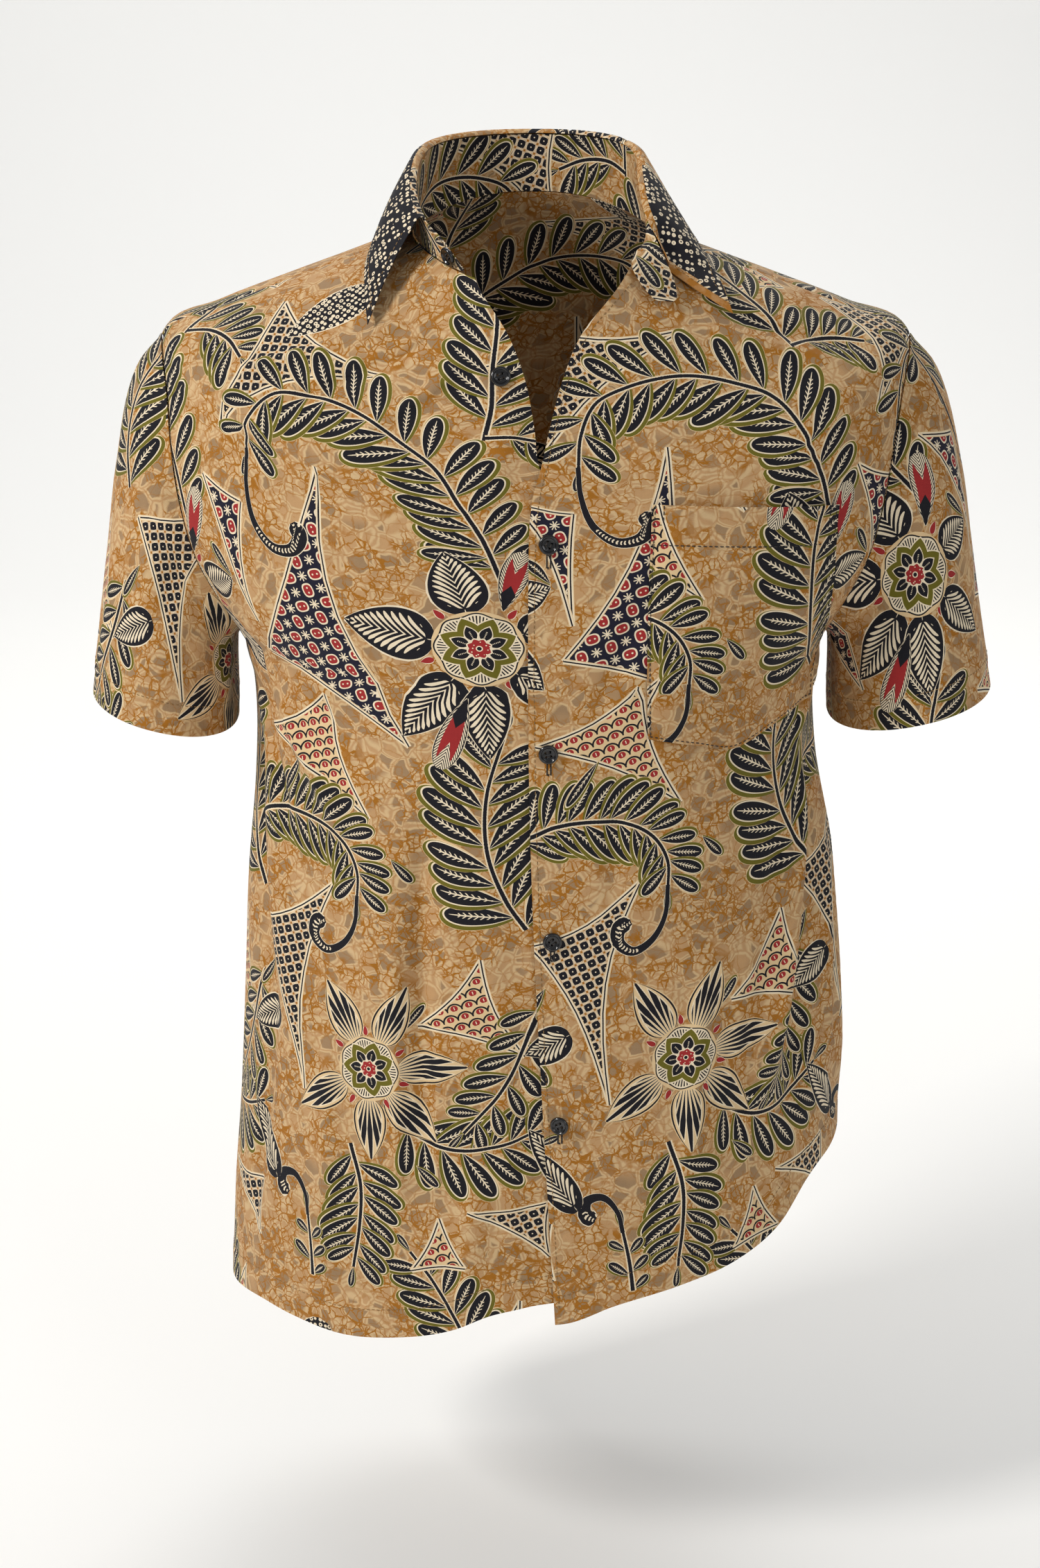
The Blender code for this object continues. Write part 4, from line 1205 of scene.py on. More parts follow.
def ground():
    """Ground of the print: peach and taupe pebbles with pale rims, under an ochre crackle."""
    material, tree, node, _, _ = started("batik_ground_cotton")
    place = node("UVMap", uv_map="print")
    bend = node("TexNoise", place, None, 70.0, 2.0, 0.5).node.outputs[1]
    bent = node("VectorMath.MULTIPLY_ADD", bend, (0.010, 0.010, 0.0), place)
    # Pebbles are about 12 mm across.
    cell = node("TexVoronoi", bent, None, 85.0, feature="F1")
    rim = node("TexVoronoi", bent, None, 85.0, feature="DISTANCE_TO_EDGE")
    patch = node("TexNoise", place, None, 26.0, 2.0, 0.5)
    pick = node("SeparateXYZ", cell.node.outputs[1])
    chance = node("Math.ADD", pick, node("Math.MULTIPLY_ADD", patch, 1.6, -0.8))
    pebble = node("Math.MULTIPLY", node("MapRange", chance, 0.28, 0.50, 0.0, 0.75),
                  node("MapRange", rim, 0.09, 0.15, 0.0, 1.0))
    edge = node("Math.MULTIPLY", node("MapRange", rim, 0.02, 0.06, 0.0, 1.0),
                node("MapRange", rim, 0.15, 0.10, 0.0, 1.0))
    colour = node("MixRGB", pebble, PEACH, TAUPE)
    colour = node("MixRGB", node("Math.MULTIPLY", edge, 0.8), colour, PALE)
    # The crackle's veins are about 0.9 mm wide and cross every 5 mm.
    shake = node("TexNoise", place, None, 120.0, 3.0, 0.6).node.outputs[1]
    frayed = node("VectorMath.MULTIPLY_ADD", shake, (0.007, 0.007, 0.0), place)
    veins = node("TexVoronoi", frayed, None, 170.0, feature="DISTANCE_TO_EDGE")
    wide = node("TexVoronoi", frayed, None, 90.0, feature="DISTANCE_TO_EDGE")
    where = node("MapRange", node("TexNoise", place, None, 34.0, 3.0, 0.6), 0.42, 0.51, 0.0, 1.0)
    fine = node("Math.MULTIPLY", node("MapRange", veins, 0.078, 0.040, 0.0, 1.0), where)
    coarse = node("Math.MULTIPLY", node("MapRange", wide, 0.042, 0.020, 0.0, 0.9),
                  node("MapRange", where, 0.0, 1.0, 0.4, 1.0))
    pools = node("MapRange", node("TexNoise", place, None, 75.0, 4.0, 0.7), 0.69, 0.72, 0.0, 0.6)
    ink = node("Math.MAXIMUM", node("Math.MAXIMUM", fine, coarse), pools)
    colour = node("MixRGB", ink, colour, OCHRE)
    finished(tree, node, colour)
    return material


def blade_width(node, s, start, end):
    """Half width of a leaf shape that runs between two shares of the drawing's length."""
    u = node("MapRange", s, start, end, 0.0, 1.0)
    rise = node("Math.POWER", u, 0.9)
    fall = node("Math.POWER", node("Math.SUBTRACT", 1.0, u), 0.5)
    return node("Math.MULTIPLY", node("Math.MULTIPLY", rise, fall), 2.49)


def edge_share(node, s, away, start=0.0, end=1.0):
    """How far out a place is, from 0 on a leaf's rib to 1 at its edge."""
    return node("Math.DIVIDE", away, node("Math.MAXIMUM", blade_width(node, s, start, end), 0.02))


def leaf():
    """Leaf: black with a feather of cream veins, cream line, olive crescent and pale halo."""
    material, tree, node, s, t = started("batik_leaf_cotton")
    colour = HALO
    bands = ((0.01, 0.985, 0.91, 0.05, OLIVE), (0.03, 0.945, 0.76, -0.09, CREAM),
             (0.045, 0.92, 0.67, -0.09, BLACK_INK))
    for start, end, width, shift, ink in bands:
        edge = node("Math.MULTIPLY", blade_width(node, s, start, end), width)
        away = node("Math.ABSOLUTE", node("Math.SUBTRACT", t, shift))
        colour = node("MixRGB", node("Math.LESS_THAN", away, edge), colour, ink)
    away = node("Math.ABSOLUTE", node("Math.ADD", t, 0.09))
    lean = node("Math.MULTIPLY_ADD", away, -0.24, s)
    barb = node("Math.LESS_THAN", node("Math.FRACT", node("Math.MULTIPLY", lean, 13.0)), 0.28)
    reach = node("Math.LESS_THAN", away, node("Math.MULTIPLY", blade_width(node, s, 0.14, 0.78), 0.24))
    rib = node("Math.LESS_THAN", away, node("Math.MULTIPLY", blade_width(node, s, 0.02, 0.86), 0.05))
    feather = node("Math.MAXIMUM", node("Math.MULTIPLY", barb, reach), rib)
    colour = node("MixRGB", feather, colour, CREAM)
    finished(tree, node, colour)
    return material


def comb_petal():
    """Large petal: black with a comb of cream rods that end in drops."""
    material, tree, node, s, t = started("batik_comb_petal_cotton")
    away = node("Math.ABSOLUTE", t)
    share = edge_share(node, s, away)
    colour = node("MixRGB", node("Math.GREATER_THAN", share, 0.92), BLACK_INK, CREAM)
    bent = node("Math.MULTIPLY", away, node("Math.MULTIPLY_ADD", away, -0.30, 0.58))
    phase = node("Math.FRACT", node("Math.MULTIPLY", node("Math.ADD", s, bent), 11.0))
    off = node("Math.ABSOLUTE", node("Math.SUBTRACT", phase, 0.5))
    inner = edge_share(node, s, away, 0.04, 0.90)
    thick = node("MapRange", inner, 0.10, 0.60, 0.16, 0.40)
    rod = node("Math.LESS_THAN", off, thick)
    rounded = node("Math.MULTIPLY_ADD", node("Math.MULTIPLY", off, off), -2.0, 0.74)
    ends = node("Math.LESS_THAN", inner, rounded)
    colour = node("MixRGB", node("Math.MULTIPLY", rod, ends), colour, CREAM)
    finished(tree, node, colour)
    return material


def line_petal():
    """Small petal: pale, with a black outline and black strokes that fan from its foot."""
    material, tree, node, s, t = started("batik_line_petal_cotton")
    away = node("Math.ABSOLUTE", t)
    share = edge_share(node, s, away)
    line = node("Math.MULTIPLY", node("Math.GREATER_THAN", share, 0.84), node("Math.LESS_THAN", share, 0.93))
    fan = node("Math.DIVIDE", t, node("Math.SUBTRACT", 1.22, s))
    phase = node("Math.FRACT", node("Math.MULTIPLY_ADD", fan, 2.2, 0.5))
    phase = node("Math.ABSOLUTE", node("Math.SUBTRACT", phase, 0.5))
    swell = node("MapRange", node("Math.ABSOLUTE", node("Math.SUBTRACT", s, 0.50)), 0.0, 0.46, 0.44, 0.12)
    stroke = node("Math.MULTIPLY", node("Math.LESS_THAN", phase, swell), node("Math.LESS_THAN", share, 0.66))
    rim = node("Math.MULTIPLY", node("Math.LESS_THAN", phase, node("Math.ADD", swell, 0.10)),
               node("Math.LESS_THAN", share, 0.72))
    colour = node("MixRGB", rim, HALO, CREAM)
    colour = node("MixRGB", node("Math.MAXIMUM", line, stroke), colour, BLACK_INK)
    finished(tree, node, colour)
    return material


def flower(name, lobes):
    """Flower head: eye, dotted red disc, black petals, olive star, hatched ring and scalloped line."""
    material, tree, node, x, y = started(name)
    flat = node("CombineXYZ", x, y, 0.0)
    r = node("VectorMath.LENGTH", flat).node.outputs[1]
    turn = node("Math.MULTIPLY", node("Math.ARCTAN2", y, x), lobes / (2.0 * math.pi))
    lobe = node("Math.ABSOLUTE", node("Math.SUBTRACT", node("Math.FRACT", turn), 0.5))
    lobe = node("Math.MULTIPLY", lobe, 2.0)
    between = node("Math.SUBTRACT", 1.0, lobe)
    scallop = node("Math.MULTIPLY", node("Math.COSINE", node("Math.MULTIPLY", turn, 2.0 * math.pi)), 0.035)
    hatch = node("Math.LESS_THAN", node("Math.FRACT", node("Math.MULTIPLY", turn, 9.0)), 0.45)
    colour = node("MixRGB", node("Math.LESS_THAN", r, node("Math.ADD", scallop, 0.93)), HALO, BLACK_INK)
    colour = node("MixRGB", node("Math.LESS_THAN", r, node("Math.ADD", scallop, 0.895)), colour, CREAM)
    ring = node("Math.MULTIPLY", hatch, node("Math.LESS_THAN", r, node("Math.ADD", scallop, 0.85)))
    colour = node("MixRGB", ring, colour, BLACK_INK)
    star = node("Math.MULTIPLY_ADD", lobe, -0.24, 0.85)
    for grow, ink in ((0.04, CREAM), (0.0, OLIVE), (-0.19, CREAM)):
        colour = node("MixRGB", node("Math.LESS_THAN", r, node("Math.ADD", star, grow)), colour, ink)
    span = node("MapRange", r, 0.20, 0.62, 0.0, 1.0)
    petal = node("Math.SINE", node("Math.MULTIPLY", node("Math.POWER", span, 0.75), math.pi))
    petal = node("Math.MULTIPLY", petal, 0.86)
    colour = node("MixRGB", node("Math.LESS_THAN", lobe, petal), colour, BLACK_INK)
    dots = node("Math.MULTIPLY", node("Math.LESS_THAN", lobe, 0.09),
                node("Math.LESS_THAN", node("Math.FRACT", node("Math.MULTIPLY", r, 26.0)), 0.45))
    dots = node("Math.MULTIPLY", dots, node("Math.LESS_THAN", r, 0.50))
    colour = node("MixRGB", dots, colour, CREAM)
    disc_edge = node("Math.MULTIPLY_ADD", between, 0.05, 0.21)
    colour = node("MixRGB", node("Math.LESS_THAN", r, node("Math.ADD", disc_edge, 0.035)), colour, CREAM)
    colour = node("MixRGB", node("Math.LESS_THAN", r, disc_edge), colour, RED_INK)
    seeds = node("TexVoronoi", flat, None, 13.0, feature="F1")
    seeds = node("Math.MULTIPLY", node("Math.LESS_THAN", seeds, 0.22), node("Math.LESS_THAN", r, disc_edge))
    colour = node("MixRGB", seeds, colour, CREAM)
    colour = node("MixRGB", node("Math.LESS_THAN", r, 0.075), colour, CREAM)
    colour = node("MixRGB", node("Math.LESS_THAN", r, 0.05), colour, BLACK_INK)
    finished(tree, node, colour)
    return material


def cells(node, x, y, pitch):
    """Place inside a square cell of a repeating grid, from -0.5 to 0.5, and the cell's number."""
    found = []
    for axis in (x, y):
        share = node("Math.DIVIDE", axis, pitch)
        whole = node("Math.FLOOR", share)
        found.append((node("Math.SUBTRACT", node("Math.SUBTRACT", share, whole), 0.5), whole))
    return found


def kawung():
    """Filling of black squares and small ochre ones on cream, set as a lattice."""
    material, tree, node, x, y = started("batik_kawung_cotton")
    (px, _), (py, _) = cells(node, x, y, 6.2)
    ax, ay = node("Math.ABSOLUTE", px), node("Math.ABSOLUTE", py)
    square = node("Math.MAXIMUM", ax, ay)
    diamond = node("Math.ADD", ax, ay)
    colour = node("MixRGB", node("Math.GREATER_THAN", square, 0.462), PEACH, CREAM)
    colour = node("MixRGB", node("Math.GREATER_THAN", diamond, 0.86), colour, OCHRE)
    bulge = node("Math.MULTIPLY_ADD", node("Math.MULTIPLY", ax, ay), 0.5, square)
    colour = node("MixRGB", node("Math.LESS_THAN", bulge, 0.45), colour, CREAM)
    colour = node("MixRGB", node("Math.LESS_THAN", bulge, 0.405), colour, BLACK_INK)
    colour = node("MixRGB", node("Math.LESS_THAN", diamond, 0.085), colour, CREAM)
    finished(tree, node, colour)
    return material


def navy_ovals():
    """Filling of red dotted ovals with cream rims and cream stars on blue-black."""
    material, tree, node, x, y = started("batik_navy_cotton")
    (px, ix), (py, iy) = cells(node, x, y, 8.8)
    odd = node("Math.GREATER_THAN", node("Math.PINGPONG", node("Math.ADD", ix, iy), 1.0), 0.5)
    upright = node("Math.GREATER_THAN", node("Math.PINGPONG", ix, 1.0), 0.5)
    swap = node("Math.SUBTRACT", 1.0, upright)
    along = node("Math.ADD", node("Math.MULTIPLY", px, upright), node("Math.MULTIPLY", py, swap))
    across = node("Math.ADD", node("Math.MULTIPLY", py, upright), node("Math.MULTIPLY", px, swap))
    q = node("Math.ADD", node("Math.POWER", node("Math.ABSOLUTE", node("Math.DIVIDE", along, 0.50)), 2.6),
             node("Math.POWER", node("Math.ABSOLUTE", node("Math.DIVIDE", across, 0.40)), 2.6))
    colour = node("MixRGB", node("Math.LESS_THAN", q, 1.0), linear("#1b1a2a"), CREAM)
    colour = node("MixRGB", node("Math.LESS_THAN", q, 0.50), colour, RED_INK)
    dot = node("Math.SUBTRACT", node("Math.ABSOLUTE", along), 0.17)
    spot = node("Math.ADD", node("Math.MULTIPLY", dot, dot), node("Math.MULTIPLY", across, across))
    colour = node("MixRGB", node("Math.LESS_THAN", spot, 0.0042), colour, CREAM)
    r = node("VectorMath.LENGTH", node("CombineXYZ", px, py, 0.0)).node.outputs[1]
    ray = node("Math.FRACT", node("Math.MULTIPLY_ADD", node("Math.ARCTAN2", py, px), 4.0 / math.pi, 0.5))
    ray = node("Math.ABSOLUTE", node("Math.SUBTRACT", ray, 0.5))
    thin = node("Math.LESS_THAN", node("Math.MULTIPLY", ray, r), 0.05)
    star = node("Math.MULTIPLY", thin, node("Math.LESS_THAN", r, 0.36))
    night = node("MixRGB", star, linear("#1b1a2a"), CREAM)
    colour = node("MixRGB", odd, colour, night)
    finished(tree, node, colour)
    return material


def scales():
    """Filling of nested arches, each round a dotted red seed."""
    material, tree, node, x, y = started("batik_scales_cotton")
    row = node("Math.FLOOR", node("Math.DIVIDE", y, 6.6))
    half = node("Math.MULTIPLY", node("Math.PINGPONG", row, 1.0), 4.6)
    (px, _), _ = cells(node, node("Math.ADD", x, half), y, 9.2)
    py = node("Math.SUBTRACT", node("Math.DIVIDE", y, 6.6), row)
    up = node("Math.MULTIPLY", py, 0.72)
    d = node("VectorMath.LENGTH", node("CombineXYZ", px, up, 0.0)).node.outputs[1]
    arch = node("Math.MULTIPLY", node("Math.GREATER_THAN", d, 0.45), node("Math.LESS_THAN", d, 0.57))
    colour = node("MixRGB", arch, HALO, BLACK_INK)
    high = node("Math.DIVIDE", node("Math.SUBTRACT", up, 0.20), 0.22)
    q = node("Math.ADD", node("Math.POWER", node("Math.ABSOLUTE", node("Math.DIVIDE", px, 0.25)), 2.0),
             node("Math.POWER", node("Math.ABSOLUTE", high), 2.0))
    colour = node("MixRGB", node("Math.LESS_THAN", q, 1.0), colour, RED_INK)
    seed = node("Math.MULTIPLY", node("Math.LESS_THAN", node("Math.ABSOLUTE", px), 0.03),
                node("Math.LESS_THAN", q, 0.25))
    colour = node("MixRGB", seed, colour, CREAM)
    finished(tree, node, colour)
    return material


def dotted():
    """Dark filling of cream rings, each about 4 mm across."""
    material, tree, node, _, _ = started("batik_dotted_cotton")
    place = node("UVMap", uv_map="print")
    dots = node("TexVoronoi", place, None, 250.0, 0.0, 0.5, 2.0, 1.0, 0.5, 0.45, feature="F1")
    ring = node("Math.MULTIPLY", node("Math.GREATER_THAN", dots, 0.14), node("Math.LESS_THAN", dots, 0.36))
    finished(tree, node, node("MixRGB", ring, BLACK_INK, CREAM))
    return material


def plain_ochre():
    """Strip of the print that shows its ochre alone, a little uneven."""
    material, tree, node, _, _ = started("batik_ochre_cotton")
    place = node("UVMap", uv_map="print")
    patch = node("MapRange", node("TexNoise", place, None, 140.0, 3.0, 0.6), 0.45, 0.6, 0.0, 0.5)
    finished(tree, node, node("MixRGB", patch, OCHRE, PEACH))
    return material


def seedhead():
    """Filling of small ringed dots, close together, with a fringed cream edge."""
    material, tree, node, s, t = started("batik_seedhead_cotton")
    place = node("UVMap", uv_map="print")
    dots = node("TexVoronoi", place, None, 300.0, 0.0, 0.5, 2.0, 1.0, 0.5, 0.35, feature="F1")
    ring = node("Math.MULTIPLY", node("Math.GREATER_THAN", dots, 0.16), node("Math.LESS_THAN", dots, 0.40))
    colour = node("MixRGB", ring, BLACK_INK, CREAM)
    share = edge_share(node, s, node("Math.ABSOLUTE", t))
    colour = node("MixRGB", node("Math.GREATER_THAN", share, 0.93), colour, CREAM)
    finished(tree, node, colour)
    return material


def strip_material(name, core, rough, line):
    """Stem or drawn line: black core, cream beside it, pale halo outside."""
    material, tree, node, s, t = started(name)
    jag = node("TexNoise", node("CombineXYZ", s, 0.0, 0.0), None, 0.9, 2.0, 0.7)
    width = node("Math.MULTIPLY_ADD", jag, rough, core - 0.5 * rough)
    away = node("Math.ABSOLUTE", t)
    colour = node("MixRGB", node("Math.LESS_THAN", away, line), HALO, CREAM)
    colour = node("MixRGB", node("Math.LESS_THAN", away, width), colour, BLACK_INK)
    finished(tree, node, colour)
    return material


def curl():
    """Curled end: black with a comb of cream strokes along it."""
    material, tree, node, s, t = started("batik_curl_cotton")
    away = node("Math.ABSOLUTE", t)
    colour = node("MixRGB", node("Math.GREATER_THAN", away, 0.90), BLACK_INK, CREAM)
    lean = node("Math.MULTIPLY_ADD", away, -1.2, s)
    tooth = node("Math.LESS_THAN", node("Math.FRACT", node("Math.DIVIDE", lean, 2.3)), 0.42)
    comb = node("Math.MULTIPLY", tooth, node("Math.LESS_THAN", away, 0.36))
    comb = node("Math.MULTIPLY", comb, node("Math.GREATER_THAN", s, 46.0))
    colour = node("MixRGB", comb, colour, CREAM)
    finished(tree, node, colour)
    return material


def bud():
    """Flower bud: black foot, red heart, hatched cream sides and a black outline."""
    material, tree, node, s, t = started("batik_bud_cotton")
    away = node("Math.ABSOLUTE", t)
    share = edge_share(node, s, away)
    lean = node("Math.MULTIPLY", node("Math.MULTIPLY_ADD", away, -0.3, s), 20.0)
    hatch = node("Math.LESS_THAN", node("Math.FRACT", lean), 0.42)
    colour = node("MixRGB", hatch, CREAM, BLACK_INK)
    notch = node("Math.MULTIPLY_ADD", away, 0.5, 0.62)
    heart = node("Math.MULTIPLY", node("Math.LESS_THAN", share, 0.60), node("Math.LESS_THAN", s, notch))
    colour = node("MixRGB", heart, colour, RED_INK)
    top = node("Math.LESS_THAN", s, node("Math.MULTIPLY_ADD", away, -0.3, 0.42))
    foot = node("Math.MULTIPLY", node("Math.LESS_THAN", share, 0.72), top)
    colour = node("MixRGB", foot, colour, BLACK_INK)
    colour = node("MixRGB", node("Math.GREATER_THAN", share, 0.86), colour, BLACK_INK)
    colour = node("MixRGB", node("Math.GREATER_THAN", share, 0.94), colour, CREAM)
    finished(tree, node, colour)
    return material


def red_drop():
    """Small red drop with a cream edge."""
    material, tree, node, s, t = started("batik_red_drop_cotton")
    share = edge_share(node, s, node("Math.ABSOLUTE", t))
    finished(tree, node, node("MixRGB", node("Math.GREATER_THAN", share, 0.78), RED_INK, CREAM))
    return material


CLOTH_MATERIALS = {
    "ground": ground(), "leaf": leaf(), "comb_petal": comb_petal(), "line_petal": line_petal(),
    "large_flower": flower("batik_large_flower_cotton", 8),
    "small_flower": flower("batik_small_flower_cotton", 7),
    "kawung": kawung(), "navy_ovals": navy_ovals(), "scales": scales(), "seedhead": seedhead(),
    "stem": strip_material("batik_stem_cotton", 0.56, 0.40, 0.84),
    "drawn_line": strip_material("batik_line_cotton", 0.26, 0.06, 0.75),
    "dotted": dotted(), "plain_ochre": plain_ochre(), "curl": curl(), "bud": bud(), "red_drop": red_drop(),
}
TILE = tile_motifs()


def thread_material(name, code):
    """Twisted polyester sewing thread: a soft sheen, with the twist as fine slanting ridges."""
    material = bpy.data.materials.new(name)
    material.use_nodes = True
    tree = material.node_tree
    node = partial(add_node, tree)
    shader = tree.nodes["Principled BSDF"]
    place = node("TexCoord").node.outputs["Object"]
    twist = node("TexWave", place, 700.0, 0.4, bands_direction="DIAGONAL")
    bump = node("Bump", 0.5, 0.0002)
    tree.links.new(twist.node.outputs[1], bump.node.inputs["Height"])
    tree.links.new(bump, shader.inputs["Normal"])
    shader.inputs["Base Color"].default_value = linear(code)
    shader.inputs["Roughness"].default_value = 0.55
    return material


DARK_THREAD = thread_material("dark_sewing_thread", "#2a2420")
TAN_THREAD = thread_material("tan_sewing_thread", "#8a6a3c")


# Rows of stitches that belong to each cloth piece.
SEWN = {}


def on_cloth(cloth, line, lift):
    """Worn places and outward directions for points of a flat piece, or of its view from the front."""
    cloth, _, seen = cloth.partition(":")
    piece = FLAT[cloth]
    if seen and "seen" not in piece:
        piece["seen"] = place_on(piece["worn"][..., [0, 2]], piece["across"], piece["down"])
    across, down = held_to(piece["extent"], *piece["seen" if seen else "back_to"](line))
    out = square_to(piece["surface"], piece["extent"], across, down) * piece["sign"]
    return piece["surface"](across, down) + out * lift, out


# A stitch's four rings: share of its length, how far its ends sink into the cloth, and their thickness.
STITCH_SHARES = np.array((0.0, 0.25, 0.75, 1.0))
STITCH_SINK = np.array((-0.28, 0.0, 0.0, -0.28))
STITCH_GIRTH = np.array((0.55, 1.0, 1.0, 0.55))
STITCH_SIDES = 6


def tube_faces(rings, sides):
    """Faces of a closed tube whose points run ring after ring."""
    faces = []
    for low in range(0, (rings - 1) * sides, sides):
        top = low + sides
        faces += [(low + k, low + (k + 1) % sides, top + (k + 1) % sides, top + k) for k in range(sides)]
    return faces + [tuple(range(sides - 1, -1, -1)), tuple(range((rings - 1) * sides, rings * sides))]


def sewn(name, cloth, lines, material, length=STITCH_LENGTH, pitch=STITCH_PITCH, thick=0.24, lift=0.10):
    """Rows of thread stitches that lie on a cloth piece along flat lines."""
    vertices, faces = [], []
    rings = len(STITCH_SHARES)
    turns = 2.0 * math.pi * np.arange(STITCH_SIDES) / STITCH_SIDES
    for line in lines:
        keys = np.append(0.0, np.cumsum(np.linalg.norm(np.diff(line, axis=0), axis=1)))
        starts = np.arange(0.3, keys[-1] - length, pitch)
        along = (starts[:, None] + STITCH_SHARES * length).ravel()
        flat = np.stack([np.interp(along, keys, line[:, i]) for i in range(2)], axis=-1)
        place, out = on_cloth(cloth, flat, lift)
        place = place.reshape(-1, rings, 3)
        out = out.reshape(-1, rings, 3)
        run = unit(place[:, -1:] - place[:, :1])
        side = unit(np.cross(out, run))
        out = np.cross(run, side)
        sink = STITCH_SINK[:, None, None]
        girth = STITCH_GIRTH[:, None, None] * thick
        sine, cosine = np.sin(turns)[:, None], np.cos(turns)[:, None]
        off = out[:, :, None] * (sink + sine * girth) + side[:, :, None] * cosine * girth
        vertices.append((place[:, :, None] + off).reshape(-1, 3))
    count = sum(len(v) for v in vertices) // (rings * STITCH_SIDES)
    for stitch in range(count):
        first = stitch * rings * STITCH_SIDES
        faces += [tuple(first + k for k in face) for face in tube_faces(rings, STITCH_SIDES)]
    mesh = bpy.data.meshes.new(name)
    mesh.from_pydata((np.concatenate(vertices) * MM).tolist(), [], faces)
    mesh.materials.append(material)
    mesh.polygons.foreach_set("use_smooth", np.ones(len(faces), bool))
    obj = on_garment(name, mesh)
    SEWN.setdefault(cloth.partition(":")[0], []).append(obj)
    return obj


def beside(cloth, edge, distance, start=0.0, end=1.0):
    """Line on a flat piece at a distance inside one of its edges."""
    piece = FLAT[cloth]
    line = resample(piece["edges"][edge], 2.0)
    line = offset_rows(line, piece["inside"], (distance,))[0]
    last = len(line) - 1
    return line[int(round(last * start)):int(round(last * end)) + 1]


# Buttons: polished black polyester, dished on top, with four holes and crossed thread.
BUTTON_WIDTH = 11.5
BUTTON_THICK = 2.4
HOLE_APART = 2.6
HOLE_WIDTH = 1.5


def button_material():
    """Cast black polyester: clear gloss, with very fine turning marks."""
    material = bpy.data.materials.new("polished_black_polyester")
    material.use_nodes = True
    tree = material.node_tree
    node = partial(add_node, tree)
    shader = tree.nodes["Principled BSDF"]
    grain = node("TexNoise", node("TexCoord").node.outputs["Object"], None, 900.0, 2.0, 0.5)
    bump = node("Bump", 0.15, 0.0002)
    tree.links.new(grain, bump.node.inputs["Height"])
    tree.links.new(bump, shader.inputs["Normal"])
    shader.inputs["Base Color"].default_value = linear("#0d0c0e")
    shader.inputs["Roughness"].default_value = 0.16
    shader.inputs["Coat Weight"].default_value = 0.35
    shader.inputs["Coat Roughness"].default_value = 0.05
    return material


BLACK_POLYESTER = button_material()


def button_mesh(turn):
    """Four-hole button about its own axis, in metres; z is out of the cloth."""
    bm = bmesh.new()
    r = 0.5 * BUTTON_WIDTH * MM
    t = BUTTON_THICK * MM
    floor_r, floor_z = 0.64 * r, 0.60 * t
    profile = ((floor_r, 0.0), (0.80 * r, 0.0), (0.93 * r, 0.14 * t), (r, 0.36 * t), (r, 0.60 * t),
               (0.965 * r, 0.80 * t), (0.90 * r, 0.93 * t), (0.83 * r, 0.985 * t), (0.77 * r, 0.95 * t),
               (0.71 * r, 0.80 * t), (0.67 * r, 0.66 * t), (floor_r, floor_z))
    line = [bm.verts.new((x, 0.0, z)) for x, z in profile]
    edges = [bm.edges.new((a, b)) for a, b in zip(line, line[1:])]
    bmesh.ops.spin(bm, geom=line + edges, cent=(0.0, 0.0, 0.0), axis=(0.0, 0.0, 1.0), angle=2.0 * math.pi,
                   steps=40, use_merge=True)
    rim = [e for e in bm.edges if e.is_boundary and all(abs(v.co.z - floor_z) < 1e-7 for v in e.verts)]
    for k in range(4):
        a = turn + math.radians(45.0 + 90.0 * k)
        reach = HOLE_APART * MM / math.sqrt(2.0)
        place = Matrix.Translation((reach * math.cos(a), reach * math.sin(a), floor_z))
        bmesh.ops.create_circle(bm, cap_ends=False, segments=14, radius=0.5 * HOLE_WIDTH * MM, matrix=place)
    holes = [e for e in bm.edges if e.is_wire]
    filled = bmesh.ops.triangle_fill(bm, use_beauty=True, edges=rim + holes, normal=(0.0, 0.0, 1.0))
    floor_faces = [f for f in filled["geom"] if isinstance(f, bmesh.types.BMFace)]
    grown = bmesh.ops.extrude_face_region(bm, geom=floor_faces, use_keep_orig=True)
    lowered = [v for v in grown["geom"] if isinstance(v, bmesh.types.BMVert)]
    bmesh.ops.translate(bm, verts=lowered, vec=(0.0, 0.0, -floor_z))
    walls = [f for f in bm.faces if abs(f.normal.z) < 0.3
             and all(abs(v.co.xy.length - floor_r) < 1e-6 for v in f.verts)]
    bmesh.ops.delete(bm, geom=walls, context="FACES_ONLY")
    bmesh.ops.remove_doubles(bm, verts=list(bm.verts), dist=1e-6)
    bmesh.ops.recalc_face_normals(bm, faces=list(bm.faces))
    lips = [e for e in bm.edges if len(e.link_faces) == 2 and e.calc_face_angle(0.0) > 1.0
            and all(abs(v.co.z - floor_z) < 1e-7 and v.co.xy.length < 0.9 * floor_r for v in e.verts)]
    bmesh.ops.bevel(bm, geom=lips, offset=0.14 * MM, segments=2, profile=0.5, affect="EDGES", material=-1)
    for face in bm.faces:
        face.smooth = True
    return bm


# A bar of thread: share of its length, height in its own measure, and thickness.
BAR_SHAPE = ((0.0, -1.3, 0.75), (0.06, -0.35, 0.85), (0.2, 0.35, 1.0), (0.5, 0.5, 1.05), (0.8, 0.35, 1.0),
             (0.94, -0.35, 0.85), (1.0, -1.3, 0.75))


